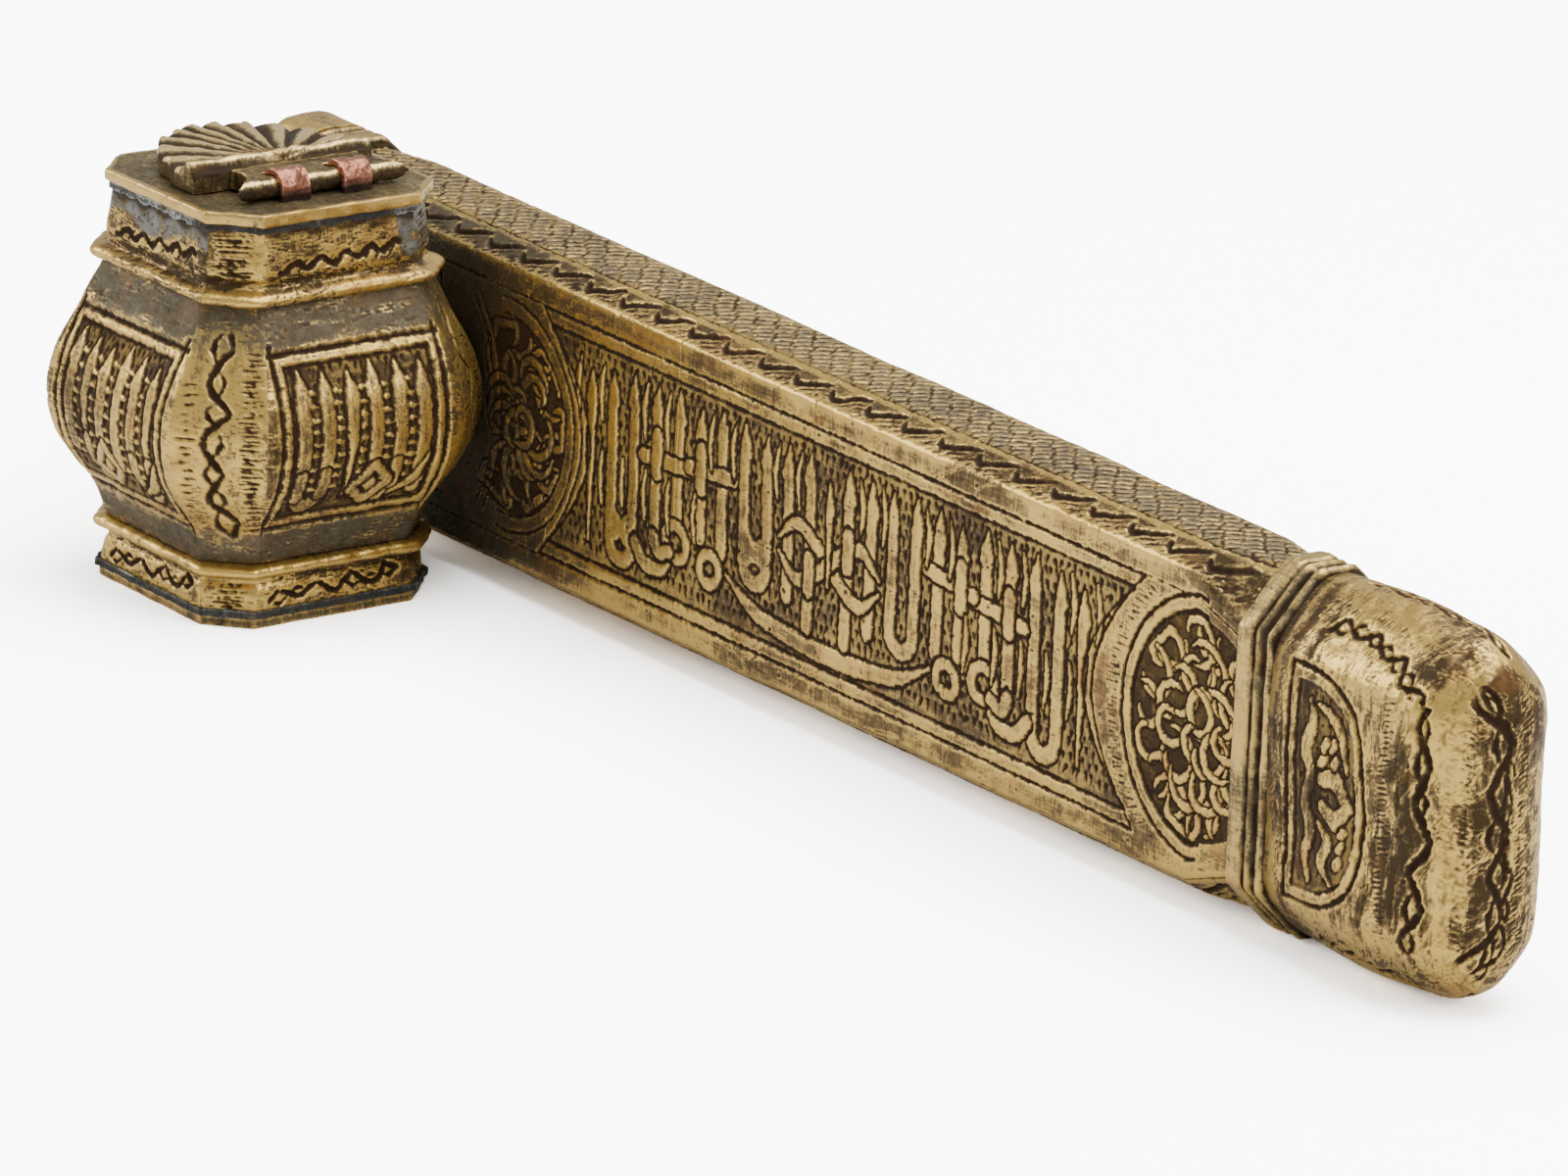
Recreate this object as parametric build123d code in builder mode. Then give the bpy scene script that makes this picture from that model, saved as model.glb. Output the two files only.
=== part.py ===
from build123d import *
import os
from math import cos, hypot, radians, sin

# Scribe's pen case of engraved brass with an inkwell soldered to its side.
# Origin: on the floor, under the middle of the whole object.
# +X runs along the case to its closed end, -X to its hinged mouth lid.
# -Y is the engraved face that carries the inkwell, and +Z is up. Millimetres.

# Case tube: an octagonal tube that stands on its narrow side, a little larger at its mouth.
total_length = 234.0
tube_half_y = 7.6
tube_half_z = 19.7
tube_cut_y = 3.6
tube_cut_z = 2.4
tube_growth = 1.06
tube_end_cut = 5.2
tube_blend = 8.0
tube_wall = 1.1

# Collars: mouldings of two ribs, soldered round both ends of the tube.
collar_length = 6.4
collar_proud = 1.3
collar_cut = 6.4
rib_length = 2.6
rib_proud = 0.6
rib_round = 0.45

# End cap: the hollow pillow-shaped closed end.
cap_length = 29.6
cap_rim_step = 0.3
cap_swell = 0.5
cap_swell_angles = (0, 36, 72, 108, 144)
cap_round = 8.0
cap_round_angles = (0, 18, 34, 48, 61, 72, 80)
cap_wall = 1.3

# Mouth lid with its inner lip, and its hinge on the back.
mouth_lid_length = 10.4
mouth_lid_gap = 0.25
mouth_lid_round = 4.5
mouth_lid_round_angles = (0, 22, 42, 60, 76)
mouth_lid_wall = 1.2
lip_depth = 1.6
lip_gap = 0.45
lip_wall = 0.9
lip_flange = 1.0
hinge_pin_radius = 0.75
hinge_play = 0.05
hinge_standoff = 1.75
knuckle_radius = 1.55
knuckle_length = 8.0
knuckle_gap = 0.2
pin_head_radius = 1.2
pin_head_length = 0.6
leaf_thickness = 0.9
leaf_reach = 4.6

# Inkwell pot: in plan a square with cut corners, from the floor up.
pot_from_near_collar = 156.0
pot_wall = 1.3
pot_clear = 0.5
base_half = 15.8
base_cut = 4.8
base_thickness = 1.3
foot_half_top = 15.3
ridge_height = 1.7
ridge_slope = 0.5
ridge_proud = 1.2
belly_levels = (7.7, 11.6, 14.8, 18.6, 23.4, 28.6, 34.2, 39.2)
belly_halves = (15.3, 16.7, 18.9, 21.1, 22.0, 21.1, 18.4, 16.0)
belly_cut = 8.3
neck_half_bottom = 16.0
neck_half_top = 15.1
plate_bottom = 48.6
plate_thickness = 1.4
plate_half = 15.8
ink_hole_radius = 6.6
ink_hole_x = -4.2
solder_height = 0.9
solder_proud = 0.4
saddle_length = 12.0
saddle_height = 15.0

# Ink lid: a cast shell behind a hinge bar with flared ends, held by two copper staples.
hinge_bar_x = 9.6
hinge_bar_half = 1.2
hinge_rod_radius = 1.3
hinge_rod_lift = 1.4
bar_front_half_y = 12.0
bar_back_half_y = 8.8
bar_end_hollow = 1.6
bar_middle_y = 0.6
bar_nose = 1.1
shell_front_x = 4.4
shell_back_x = -13.6
shell_half_y = 12.0
shell_middle_y = -0.8
shell_lobes = 8
shell_lobe_bulge = 0.06
shell_underside = 0.15
shell_top = 3.7
shell_recess = 1.2
shell_recess_extra = 0.7
staple_play = 0.05
staple_thickness = 0.8
staple_width = 4.0
staple_places = (-3.7, 4.9)
staple_side_gap = 0.35

# Places that follow from the sizes above.
mouth_half_y = tube_half_y * tube_growth
mouth_half_z = tube_half_z * tube_growth
cap_end_x = total_length / 2
near_collar_right = cap_end_x - cap_length
near_collar_left = near_collar_right - collar_length
mouth_lid_end = -total_length / 2
mouth_x = mouth_lid_end + mouth_lid_length + mouth_lid_gap
pot_x = near_collar_left - pot_from_near_collar
belly_half = max(belly_halves)
tube_slope = (tube_growth - 1) / (near_collar_right - mouth_x)
pot_side_half_y = tube_half_y * (1 + tube_slope * (near_collar_right - pot_x))
axis_z = mouth_half_z + collar_proud
hinge_offset_y = mouth_half_y + collar_proud + hinge_standoff
total_depth = 2 * belly_half + pot_clear + pot_side_half_y + hinge_offset_y + knuckle_radius
pot_y = belly_half - total_depth / 2
case_y = total_depth / 2 - hinge_offset_y - knuckle_radius
hinge_x = mouth_x - mouth_lid_gap / 2
hinge_y = case_y + hinge_offset_y
plate_top = plate_bottom + plate_thickness
rod_x = pot_x + hinge_bar_x
rod_z = plate_top + hinge_rod_lift


def octagon(half_a, half_b, cut_a, cut_b):
    """A rectangle with its corners cut: an octagon that is symmetric both ways."""
    quarter = [(half_a, half_b - cut_b), (half_a - cut_a, half_b)]
    top = quarter + [(-a, b) for a, b in reversed(quarter)]
    return Polygon(*top, *[(-a, -b) for a, b in top])


def inner_cut(cut, other_cut, wall):
    """The corner cut of an octagon that lies one wall inside another."""
    return cut - wall + wall * (hypot(cut, other_cut) - cut) / other_cut


def tube_scale(x):
    """How much larger than at its closed end the tube is at a place along it."""
    return 1 + tube_slope * max(near_collar_right - x, 0)


def across(x):
    """A plane square to the case on its axis: right is +Y, up is +Z. The underside runs level."""
    centre_z = tube_half_z * tube_scale(max(x, mouth_x)) + collar_proud
    return Plane(origin=(x, case_y, centre_z), x_dir=(0, 1, 0), z_dir=(1, 0, 0))


def level(z):
    """A horizontal plane centred on the inkwell."""
    return Plane(origin=(pot_x, pot_y, z), x_dir=(1, 0, 0), z_dir=(0, 0, 1))


def tube_section(x, inset=0.0):
    """The tube's octagon at a place along the case, or one that lies inset inside it."""
    at_collar = x <= mouth_x + collar_length or x >= near_collar_left
    cut_y, cut_z = (tube_end_cut, tube_end_cut) if at_collar else (tube_cut_y, tube_cut_z)
    half_y = tube_half_y * tube_scale(x) - inset
    half_z = tube_half_z * tube_scale(x) - inset
    octagon(half_y, half_z, inner_cut(cut_y, cut_z, inset), inner_cut(cut_z, cut_y, inset))


def rounded_end(straight, radius, angles):
    """Distances along an end piece and how far its outline draws in there."""
    return [(straight + radius * sin(radians(a)), radius * (1 - cos(radians(a)))) for a in angles]


def end_section(half_y, half_z, inset):
    """One octagon of a closed end, drawn in by inset."""
    cut = collar_cut * (half_y - inset) / half_y
    octagon(half_y - inset, half_z - inset, cut, cut)


def belly_corner(half):
    """The pot's corner cut at a level where its half width is known."""
    share = (half - min(belly_halves)) / (belly_half - min(belly_halves))
    return base_cut + (belly_cut - base_cut) * share


def rib_stations(rib_start):
    """Places along one rib and how far its rounded edge draws in there."""
    ends = ((0.0, rib_round), (rib_round, 0.0), (rib_length - rib_round, 0.0), (rib_length, rib_round))
    return [(rib_start + u, inset) for u, inset in ends]


# Outer forms, which the pieces share: each neighbour is cut to fit them.
# The tube's corners are beaten broader where it meets its collars.
tube_stations = (
    mouth_x,
    mouth_x + collar_length,
    mouth_x + collar_length + tube_blend,
    near_collar_left - tube_blend,
    near_collar_left,
    near_collar_right,
)
with BuildPart() as tube_form:
    for x in tube_stations:
        with BuildSketch(across(x)):
            tube_section(x)
    loft(ruled=True)

with BuildPart() as belly_form:
    for z, half in zip(belly_levels, belly_halves):
        with BuildSketch(level(z)):
            octagon(half, half, belly_corner(half), belly_corner(half))
    loft()

with BuildPart() as neck_form:
    for z, half in ((belly_levels[-1], neck_half_bottom), (plate_bottom, neck_half_top)):
        with BuildSketch(level(z)):
            octagon(half, half, base_cut, base_cut)
    loft(ruled=True)

with BuildPart() as foot_form:
    for z, half in ((base_thickness, base_half), (belly_levels[0], foot_half_top)):
        with BuildSketch(level(z)):
            octagon(half, half, base_cut, base_cut)
    loft(ruled=True)

os.makedirs("parts", exist_ok=True)

# Case tube.
with BuildPart() as case_tube:
    add(tube_form.part)
    for x in tube_stations:
        with BuildSketch(across(x)):
            tube_section(x, tube_wall)
    loft(ruled=True, mode=Mode.SUBTRACT)
case_tube.part.label = "case_tube"
export_step(case_tube.part, "parts/case_tube.step")

# Collars: a band with a rounded rib at each edge, bored to the tube's outside.
collars = (
    ("near_collar", near_collar_left, tube_half_y, tube_half_z),
    ("mouth_collar", mouth_x, mouth_half_y, mouth_half_z),
)
for name, x_left, half_y, half_z in collars:
    outer_y = half_y + collar_proud
    outer_z = half_z + collar_proud
    band_cut = collar_cut - rib_proud
    with BuildPart() as collar:
        with BuildSketch(across(x_left)):
            octagon(outer_y - rib_proud, outer_z - rib_proud, band_cut, band_cut)
        extrude(amount=collar_length)
        for rib_start in (0.0, collar_length - rib_length):
            for u, inset in rib_stations(rib_start):
                with BuildSketch(across(x_left).offset(u)):
                    octagon(outer_y - inset, outer_z - inset, collar_cut - inset, collar_cut - inset)
            loft(ruled=True)
        add(tube_form.part, mode=Mode.SUBTRACT)
    collar.part.label = name
    export_step(collar.part, f"parts/{name}.step")

# Near end cap: swells behind its rim, rounds in to a small flat end, and is hollow.
cap_half_y = tube_half_y + collar_proud - cap_rim_step
cap_half_z = tube_half_z + collar_proud - cap_swell
cap_straight = cap_length - cap_round
cap_stations = [(cap_straight * a / 180, -cap_swell * sin(radians(a))) for a in cap_swell_angles]
cap_stations += rounded_end(cap_straight, cap_round, cap_round_angles)
cap_flat = cap_stations[-1][0]
with BuildPart() as near_end_cap:
    for u, inset in cap_stations:
        with BuildSketch(across(near_collar_right + u * cap_length / cap_flat)):
            end_section(cap_half_y, cap_half_z, inset)
    loft(ruled=True)
    for u, inset in cap_stations:
        with BuildSketch(across(near_collar_right + u * (cap_length - cap_wall) / cap_flat)):
            end_section(cap_half_y, cap_half_z, inset + cap_wall)
    loft(ruled=True, mode=Mode.SUBTRACT)
near_end_cap.part.label = "near_end_cap"
export_step(near_end_cap.part, "parts/near_end_cap.step")

# Mouth lid: a shallow rounded cup.
lid_open_x = mouth_x - mouth_lid_gap
lid_half_y = mouth_half_y + collar_proud
lid_half_z = mouth_half_z + collar_proud
lid_straight = mouth_lid_length - mouth_lid_round
lid_stations = [(0.0, 0.0), (lid_straight / 2, 0.0)]
lid_stations += rounded_end(lid_straight, mouth_lid_round, mouth_lid_round_angles)
lid_flat = lid_stations[-1][0]
with BuildPart() as mouth_lid:
    for u, inset in lid_stations:
        with BuildSketch(across(lid_open_x - u * mouth_lid_length / lid_flat)):
            end_section(lid_half_y, lid_half_z, inset)
    loft(ruled=True)
    for u, inset in lid_stations:
        with BuildSketch(across(lid_open_x - u * (mouth_lid_length - mouth_lid_wall) / lid_flat)):
            end_section(lid_half_y, lid_half_z, inset + mouth_lid_wall)
    loft(ruled=True, mode=Mode.SUBTRACT)
mouth_lid.part.label = "mouth_lid"
export_step(mouth_lid.part, "parts/mouth_lid.step")

# Mouth lid lip: a flange that fills the lid's mouth, and a sleeve that enters the tube.
lip_outer = tube_wall + lip_gap
lip_inner = lip_outer + lip_wall
sleeve_length = lip_flange + mouth_lid_gap + lip_depth
flange_plane = across(lid_open_x - lip_flange)
with BuildPart() as mouth_lid_lip:
    with BuildSketch(flange_plane):
        end_section(lid_half_y, lid_half_z, mouth_lid_wall / 2)
    extrude(amount=lip_flange)
    add(mouth_lid.part, mode=Mode.SUBTRACT)
    with BuildSketch(flange_plane):
        tube_section(mouth_x, lip_outer)
    extrude(amount=sleeve_length)
    with BuildSketch(flange_plane):
        tube_section(mouth_x, lip_inner)
    extrude(amount=sleeve_length, mode=Mode.SUBTRACT)
mouth_lid_lip.part.label = "mouth_lid_lip"
export_step(mouth_lid_lip.part, "parts/mouth_lid_lip.step")

# Mouth hinge: barrels with leaves, two on the collar and one on the lid, and a pin.
knuckle_pitch = knuckle_length + knuckle_gap
bore_radius = hinge_pin_radius + hinge_play
leaf_y = hinge_y - hinge_standoff + leaf_thickness / 2
hinge_groups = (
    ("mouth_hinge_knuckles", (-knuckle_pitch, knuckle_pitch), leaf_reach / 2),
    ("mouth_lid_knuckle", (0.0,), -leaf_reach / 2 - mouth_lid_gap / 2),
)
for name, offsets, leaf_x in hinge_groups:
    with BuildPart() as knuckles:
        for offset in offsets:
            bottom_z = axis_z + offset - knuckle_length / 2
            with BuildSketch(Plane.XY.offset(bottom_z)):
                with Locations((hinge_x, hinge_y)):
                    Circle(knuckle_radius)
                with Locations((hinge_x + leaf_x, leaf_y)):
                    Rectangle(leaf_reach, leaf_thickness)
                with Locations((hinge_x, hinge_y)):
                    Circle(bore_radius, mode=Mode.SUBTRACT)
            extrude(amount=knuckle_length)
    knuckles.part.label = name
    export_step(knuckles.part, f"parts/{name}.step")

pin_half = knuckle_pitch + knuckle_length / 2
with BuildPart() as mouth_hinge_pin:
    with BuildSketch(Plane.XY.offset(axis_z - pin_half)):
        with Locations((hinge_x, hinge_y)):
            Circle(hinge_pin_radius)
    extrude(amount=2 * pin_half)
    for head_z in (axis_z - pin_half - pin_head_length, axis_z + pin_half):
        with BuildSketch(Plane.XY.offset(head_z)):
            with Locations((hinge_x, hinge_y)):
                Circle(pin_head_radius)
        extrude(amount=pin_head_length)
mouth_hinge_pin.part.label = "mouth_hinge_pin"
export_step(mouth_hinge_pin.part, "parts/mouth_hinge_pin.step")

# Inkwell body: the bulging shell between the foot and the neck.
with BuildPart() as inkwell_body:
    add(belly_form.part)
    for z, half in zip(belly_levels, belly_halves):
        inner = half - pot_wall
        cut = inner_cut(belly_corner(half), belly_corner(half), pot_wall)
        with BuildSketch(level(z)):
            octagon(inner, inner, cut, cut)
    loft(mode=Mode.SUBTRACT)
inkwell_body.part.label = "inkwell_body"
export_step(inkwell_body.part, "parts/inkwell_body.step")

# Inkwell neck and foot: each has the same octagon, a hollow and a moulding next to the body.
pot_inner_cut = inner_cut(base_cut, base_cut, pot_wall)
belly_bottom = belly_levels[0]
belly_top = belly_levels[-1]
rims = (
    ("inkwell_neck", neck_form, belly_top, plate_bottom, neck_half_bottom, neck_half_top, belly_top),
    ("inkwell_foot", foot_form, base_thickness, belly_bottom, base_half, foot_half_top,
     belly_bottom - ridge_height),
)
for name, form, low_z, high_z, low_half, high_half, ridge_z in rims:
    ridge_half = (high_half if name == "inkwell_foot" else low_half) + ridge_proud
    with BuildPart() as rim:
        add(form.part)
        for z, half in (
            (ridge_z, ridge_half - ridge_proud),
            (ridge_z + ridge_slope, ridge_half),
            (ridge_z + ridge_height - ridge_slope, ridge_half),
            (ridge_z + ridge_height, ridge_half - ridge_proud),
        ):
            with BuildSketch(level(z)):
                octagon(half, half, base_cut, base_cut)
        loft(ruled=True)
        for z, half in ((low_z, low_half - pot_wall), (high_z, high_half - pot_wall)):
            with BuildSketch(level(z)):
                octagon(half, half, pot_inner_cut, pot_inner_cut)
        loft(ruled=True, mode=Mode.SUBTRACT)
    rim.part.label = name
    export_step(rim.part, f"parts/{name}.step")

# Inkwell base plate.
with BuildPart() as inkwell_base_plate:
    with BuildSketch(level(0)):
        octagon(base_half, base_half, base_cut, base_cut)
    extrude(amount=base_thickness)
inkwell_base_plate.part.label = "inkwell_base_plate"
export_step(inkwell_base_plate.part, "parts/inkwell_base_plate.step")

# Copper staples: straps that loop over the lid's rod, with legs let into the top plate.
staple_inner = hinge_rod_radius + staple_play
staple_outer = staple_inner + staple_thickness
leg_height = rod_z - plate_bottom
with BuildPart() as ink_lid_staples:
    for place in staple_places:
        strap_plane = Plane(
            origin=(rod_x, pot_y + place + staple_width / 2, rod_z), x_dir=(1, 0, 0), z_dir=(0, -1, 0))
        with BuildSketch(strap_plane):
            for radius, mode in ((staple_outer, Mode.ADD), (staple_inner, Mode.SUBTRACT)):
                Circle(radius, mode=mode)
                with Locations((0, -leg_height / 2)):
                    Rectangle(2 * radius, leg_height, mode=mode)
        extrude(amount=staple_width)
ink_lid_staples.part.label = "ink_lid_staples"
export_step(ink_lid_staples.part, "parts/ink_lid_staples.step")

# Inkwell top plate, with the ink hole and the slots for the staples' legs.
with BuildPart() as inkwell_top_plate:
    with BuildSketch(level(plate_bottom)):
        octagon(plate_half, plate_half, base_cut, base_cut)
        with Locations((ink_hole_x, 0)):
            Circle(ink_hole_radius, mode=Mode.SUBTRACT)
    extrude(amount=plate_thickness)
    add(ink_lid_staples.part, mode=Mode.SUBTRACT)
inkwell_top_plate.part.label = "inkwell_top_plate"
export_step(inkwell_top_plate.part, "parts/inkwell_top_plate.step")

# Solder beads: narrow fillets under the top plate and above the base plate.
beads = (
    ("top_plate_solder", neck_form, plate_bottom - solder_height, neck_half_top),
    ("base_plate_solder", foot_form, base_thickness, base_half),
)
for name, form, z, half in beads:
    with BuildPart() as bead:
        with BuildSketch(level(z)):
            octagon(half + solder_proud, half + solder_proud, base_cut, base_cut)
        extrude(amount=solder_height)
        add(form.part, mode=Mode.SUBTRACT)
    bead.part.label = name
    export_step(bead.part, f"parts/{name}.step")

# Saddle: the pad of solder that joins the pot's widest part to the case.
with BuildPart() as inkwell_saddle:
    with BuildSketch(Plane.XZ.offset(-case_y)):
        with Locations((pot_x, belly_levels[belly_halves.index(belly_half)])):
            Rectangle(saddle_length, saddle_height)
    extrude(amount=case_y - pot_y)
    add(tube_form.part, mode=Mode.SUBTRACT)
    add(belly_form.part, mode=Mode.SUBTRACT)
inkwell_saddle.part.label = "inkwell_saddle"
export_step(inkwell_saddle.part, "parts/inkwell_saddle.step")

# Ink lid hinge bar: ends flared like a fishtail, and a round rod where the staples hold it.
bar_front = hinge_bar_x + hinge_bar_half
bar_ends = [
    (shell_front_x, bar_middle_y - bar_back_half_y),
    (bar_front, bar_middle_y - bar_front_half_y),
    (bar_front, bar_middle_y + bar_front_half_y),
    (shell_front_x, bar_middle_y + bar_back_half_y),
]
bar_hollow_x = (shell_front_x + bar_front) / 2
bar_hollow_y = (bar_back_half_y + bar_front_half_y) / 2 - bar_end_hollow
notch_radius = staple_outer + staple_side_gap
notch_width = staple_width + 2 * staple_side_gap
with BuildPart() as ink_lid_hinge_bar:
    with BuildSketch(level(rod_z - hinge_bar_half)):
        with BuildLine():
            ThreePointArc(bar_ends[0], (bar_hollow_x, bar_middle_y - bar_hollow_y), bar_ends[1])
            Line(bar_ends[1], bar_ends[2])
            ThreePointArc(bar_ends[2], (bar_hollow_x, bar_middle_y + bar_hollow_y), bar_ends[3])
            Line(bar_ends[3], bar_ends[0])
        make_face()
    extrude(amount=2 * hinge_bar_half)
    fillet(ink_lid_hinge_bar.faces().sort_by(Axis.X)[-1].edges().filter_by(Axis.Y), bar_nose)
    for place in staple_places:
        notch_plane = Plane(
            origin=(rod_x, pot_y + place + notch_width / 2, rod_z), x_dir=(1, 0, 0), z_dir=(0, -1, 0))
        with BuildSketch(notch_plane):
            Circle(notch_radius)
        extrude(amount=notch_width, mode=Mode.SUBTRACT)
        with BuildSketch(notch_plane):
            Circle(hinge_rod_radius)
        extrude(amount=notch_width)
ink_lid_hinge_bar.part.label = "ink_lid_hinge_bar"
export_step(ink_lid_hinge_bar.part, "parts/ink_lid_hinge_bar.step")


def shell_point(turn, swell=1.0):
    """A point of the shell's scalloped edge, turned from its -Y end round the back."""
    reach = (shell_front_x - shell_back_x) * swell
    across_y = -shell_half_y * cos(radians(turn)) * swell
    return (shell_front_x - reach * sin(radians(turn)), shell_middle_y + across_y)


# Ink lid shell: a cast plate with a scalloped edge, hollowed underneath over the ink hole.
lobe_turn = 180 / shell_lobes
shell_bottom_z = plate_top + shell_underside
with BuildPart() as ink_lid_shell:
    with BuildSketch(level(shell_bottom_z)):
        with BuildLine():
            for lobe in range(shell_lobes):
                start = shell_point(lobe * lobe_turn)
                middle = shell_point((lobe + 1 / 2) * lobe_turn, 1 + shell_lobe_bulge)
                ThreePointArc(start, middle, shell_point((lobe + 1) * lobe_turn))
            Line(shell_point(180), shell_point(0))
        make_face()
    extrude(amount=shell_top - shell_underside)
    with BuildSketch(level(shell_bottom_z)):
        with Locations((ink_hole_x, 0)):
            Circle(ink_hole_radius + shell_recess_extra)
    extrude(amount=shell_recess, mode=Mode.SUBTRACT)
ink_lid_shell.part.label = "ink_lid_shell"
export_step(ink_lid_shell.part, "parts/ink_lid_shell.step")
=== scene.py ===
import math

import bpy
import numpy as np
from mathutils import Matrix, Vector


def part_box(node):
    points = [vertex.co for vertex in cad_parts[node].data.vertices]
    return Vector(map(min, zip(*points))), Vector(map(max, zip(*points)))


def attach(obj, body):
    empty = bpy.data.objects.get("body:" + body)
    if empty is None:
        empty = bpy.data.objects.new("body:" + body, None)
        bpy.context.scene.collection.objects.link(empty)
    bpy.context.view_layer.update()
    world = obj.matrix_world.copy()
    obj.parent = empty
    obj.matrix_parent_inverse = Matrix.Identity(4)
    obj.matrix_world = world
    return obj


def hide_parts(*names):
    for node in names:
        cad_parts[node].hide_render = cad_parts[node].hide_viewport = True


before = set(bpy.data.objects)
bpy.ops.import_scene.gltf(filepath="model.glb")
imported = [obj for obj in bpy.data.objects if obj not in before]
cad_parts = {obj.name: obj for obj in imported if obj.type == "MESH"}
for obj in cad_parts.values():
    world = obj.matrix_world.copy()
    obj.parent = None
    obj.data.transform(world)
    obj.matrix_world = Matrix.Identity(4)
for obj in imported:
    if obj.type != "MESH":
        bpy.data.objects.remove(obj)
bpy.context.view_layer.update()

# A scribe's pen case of engraved brass: the looks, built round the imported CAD.
# Lengths in this file are millimetres in the CAD's frame, and meshes are made in metres.
MM = 0.001
rng = np.random.default_rng(11)


def box(node):
    """The lowest and highest corner of a CAD node, in millimetres."""
    low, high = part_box(node)
    return np.array(low) / MM, np.array(high) / MM


tube_low, tube_high = box("case_tube")
near_low, near_high = box("near_collar")
mouth_low, mouth_high = box("mouth_collar")
cap_low, cap_high = box("near_end_cap")
lid_low, lid_high = box("mouth_lid")
body_low, body_high = box("inkwell_body")
neck_low, neck_high = box("inkwell_neck")
foot_low, foot_high = box("inkwell_foot")
plate_low, plate_high = box("inkwell_top_plate")
shell_low, shell_high = box("ink_lid_shell")

# The case: its axis, and its sizes at the closed end, where its scale is 1.
AXIS_Y = (near_low[1] + near_high[1]) / 2
COLLAR_PROUD = near_low[2] + 1.3
NEAR_HALF_Y = (near_high[1] - near_low[1]) / 2
NEAR_HALF_Z = (near_high[2] - near_low[2]) / 2
HALF_Y = NEAR_HALF_Y - COLLAR_PROUD
HALF_Z = NEAR_HALF_Z - COLLAR_PROUD
CUT_Y = 3.6
CUT_Z = 2.4
END_CUT = 5.2
BLEND = 8.0
COLLAR_CUT = 6.4
MOUTH_X = tube_low[0]
RING_X = tube_high[0]
RING_LEFT = near_low[0]
MOUTH_RING_RIGHT = mouth_high[0]
MOUTH_HALF_Z = (mouth_high[2] - mouth_low[2]) / 2
GROWTH = (MOUTH_HALF_Z - COLLAR_PROUD) / HALF_Z
POT_X = (body_low[0] + body_high[0]) / 2
POT_Y = (body_low[1] + body_high[1]) / 2


def scale_at(x):
    """How much larger than at its closed end the case is at a place along it."""
    return 1 + (GROWTH - 1) * np.clip((RING_X - x) / (RING_X - MOUTH_X), 0, 1)


def axis_z(x):
    """The height of the case's axis. Its underside runs level."""
    return HALF_Z * scale_at(x) + COLLAR_PROUD


# ---- Drawing on flat faces ----------------------------------------------------------------


def curve(points, steps=8):
    """A smooth line through the points."""
    p = np.asarray(points, float)
    p = np.vstack([2 * p[0] - p[1], p, 2 * p[-1] - p[-2]])
    out = []
    for a, b, c, d in zip(p[:-3], p[1:-2], p[2:-1], p[3:]):
        for t in np.arange(steps) / steps:
            out.append(
                0.5 * (2 * b + (c - a) * t + (2 * a - 5 * b + 4 * c - d) * t * t
                       + (3 * b - a - 3 * c + d) * t ** 3))
    out.append(p[-2])
    return np.array(out)


def arc(u, v, radius, start, end, steps=28):
    """Points along an arc, with its angles in degrees."""
    a = np.radians(np.linspace(start, end, steps))
    return np.stack([u + radius * np.cos(a), v + radius * np.sin(a)], 1)


def smooth_noise(shape, spacing, size):
    """A seeded field of bumps about size across, scaled to spread 1. spacing is the grid's."""
    white = rng.standard_normal(shape)
    fy = np.fft.fftfreq(shape[0], spacing[0])[:, None]
    fx = np.fft.rfftfreq(shape[1], spacing[1])[None, :]
    f = np.fft.irfft2(np.fft.rfft2(white) * np.exp(-((fy ** 2 + fx ** 2) * (size * 1.8) ** 2)), s=shape)
    return (f - f.mean()) / max(f.std(), 1e-9)


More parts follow.
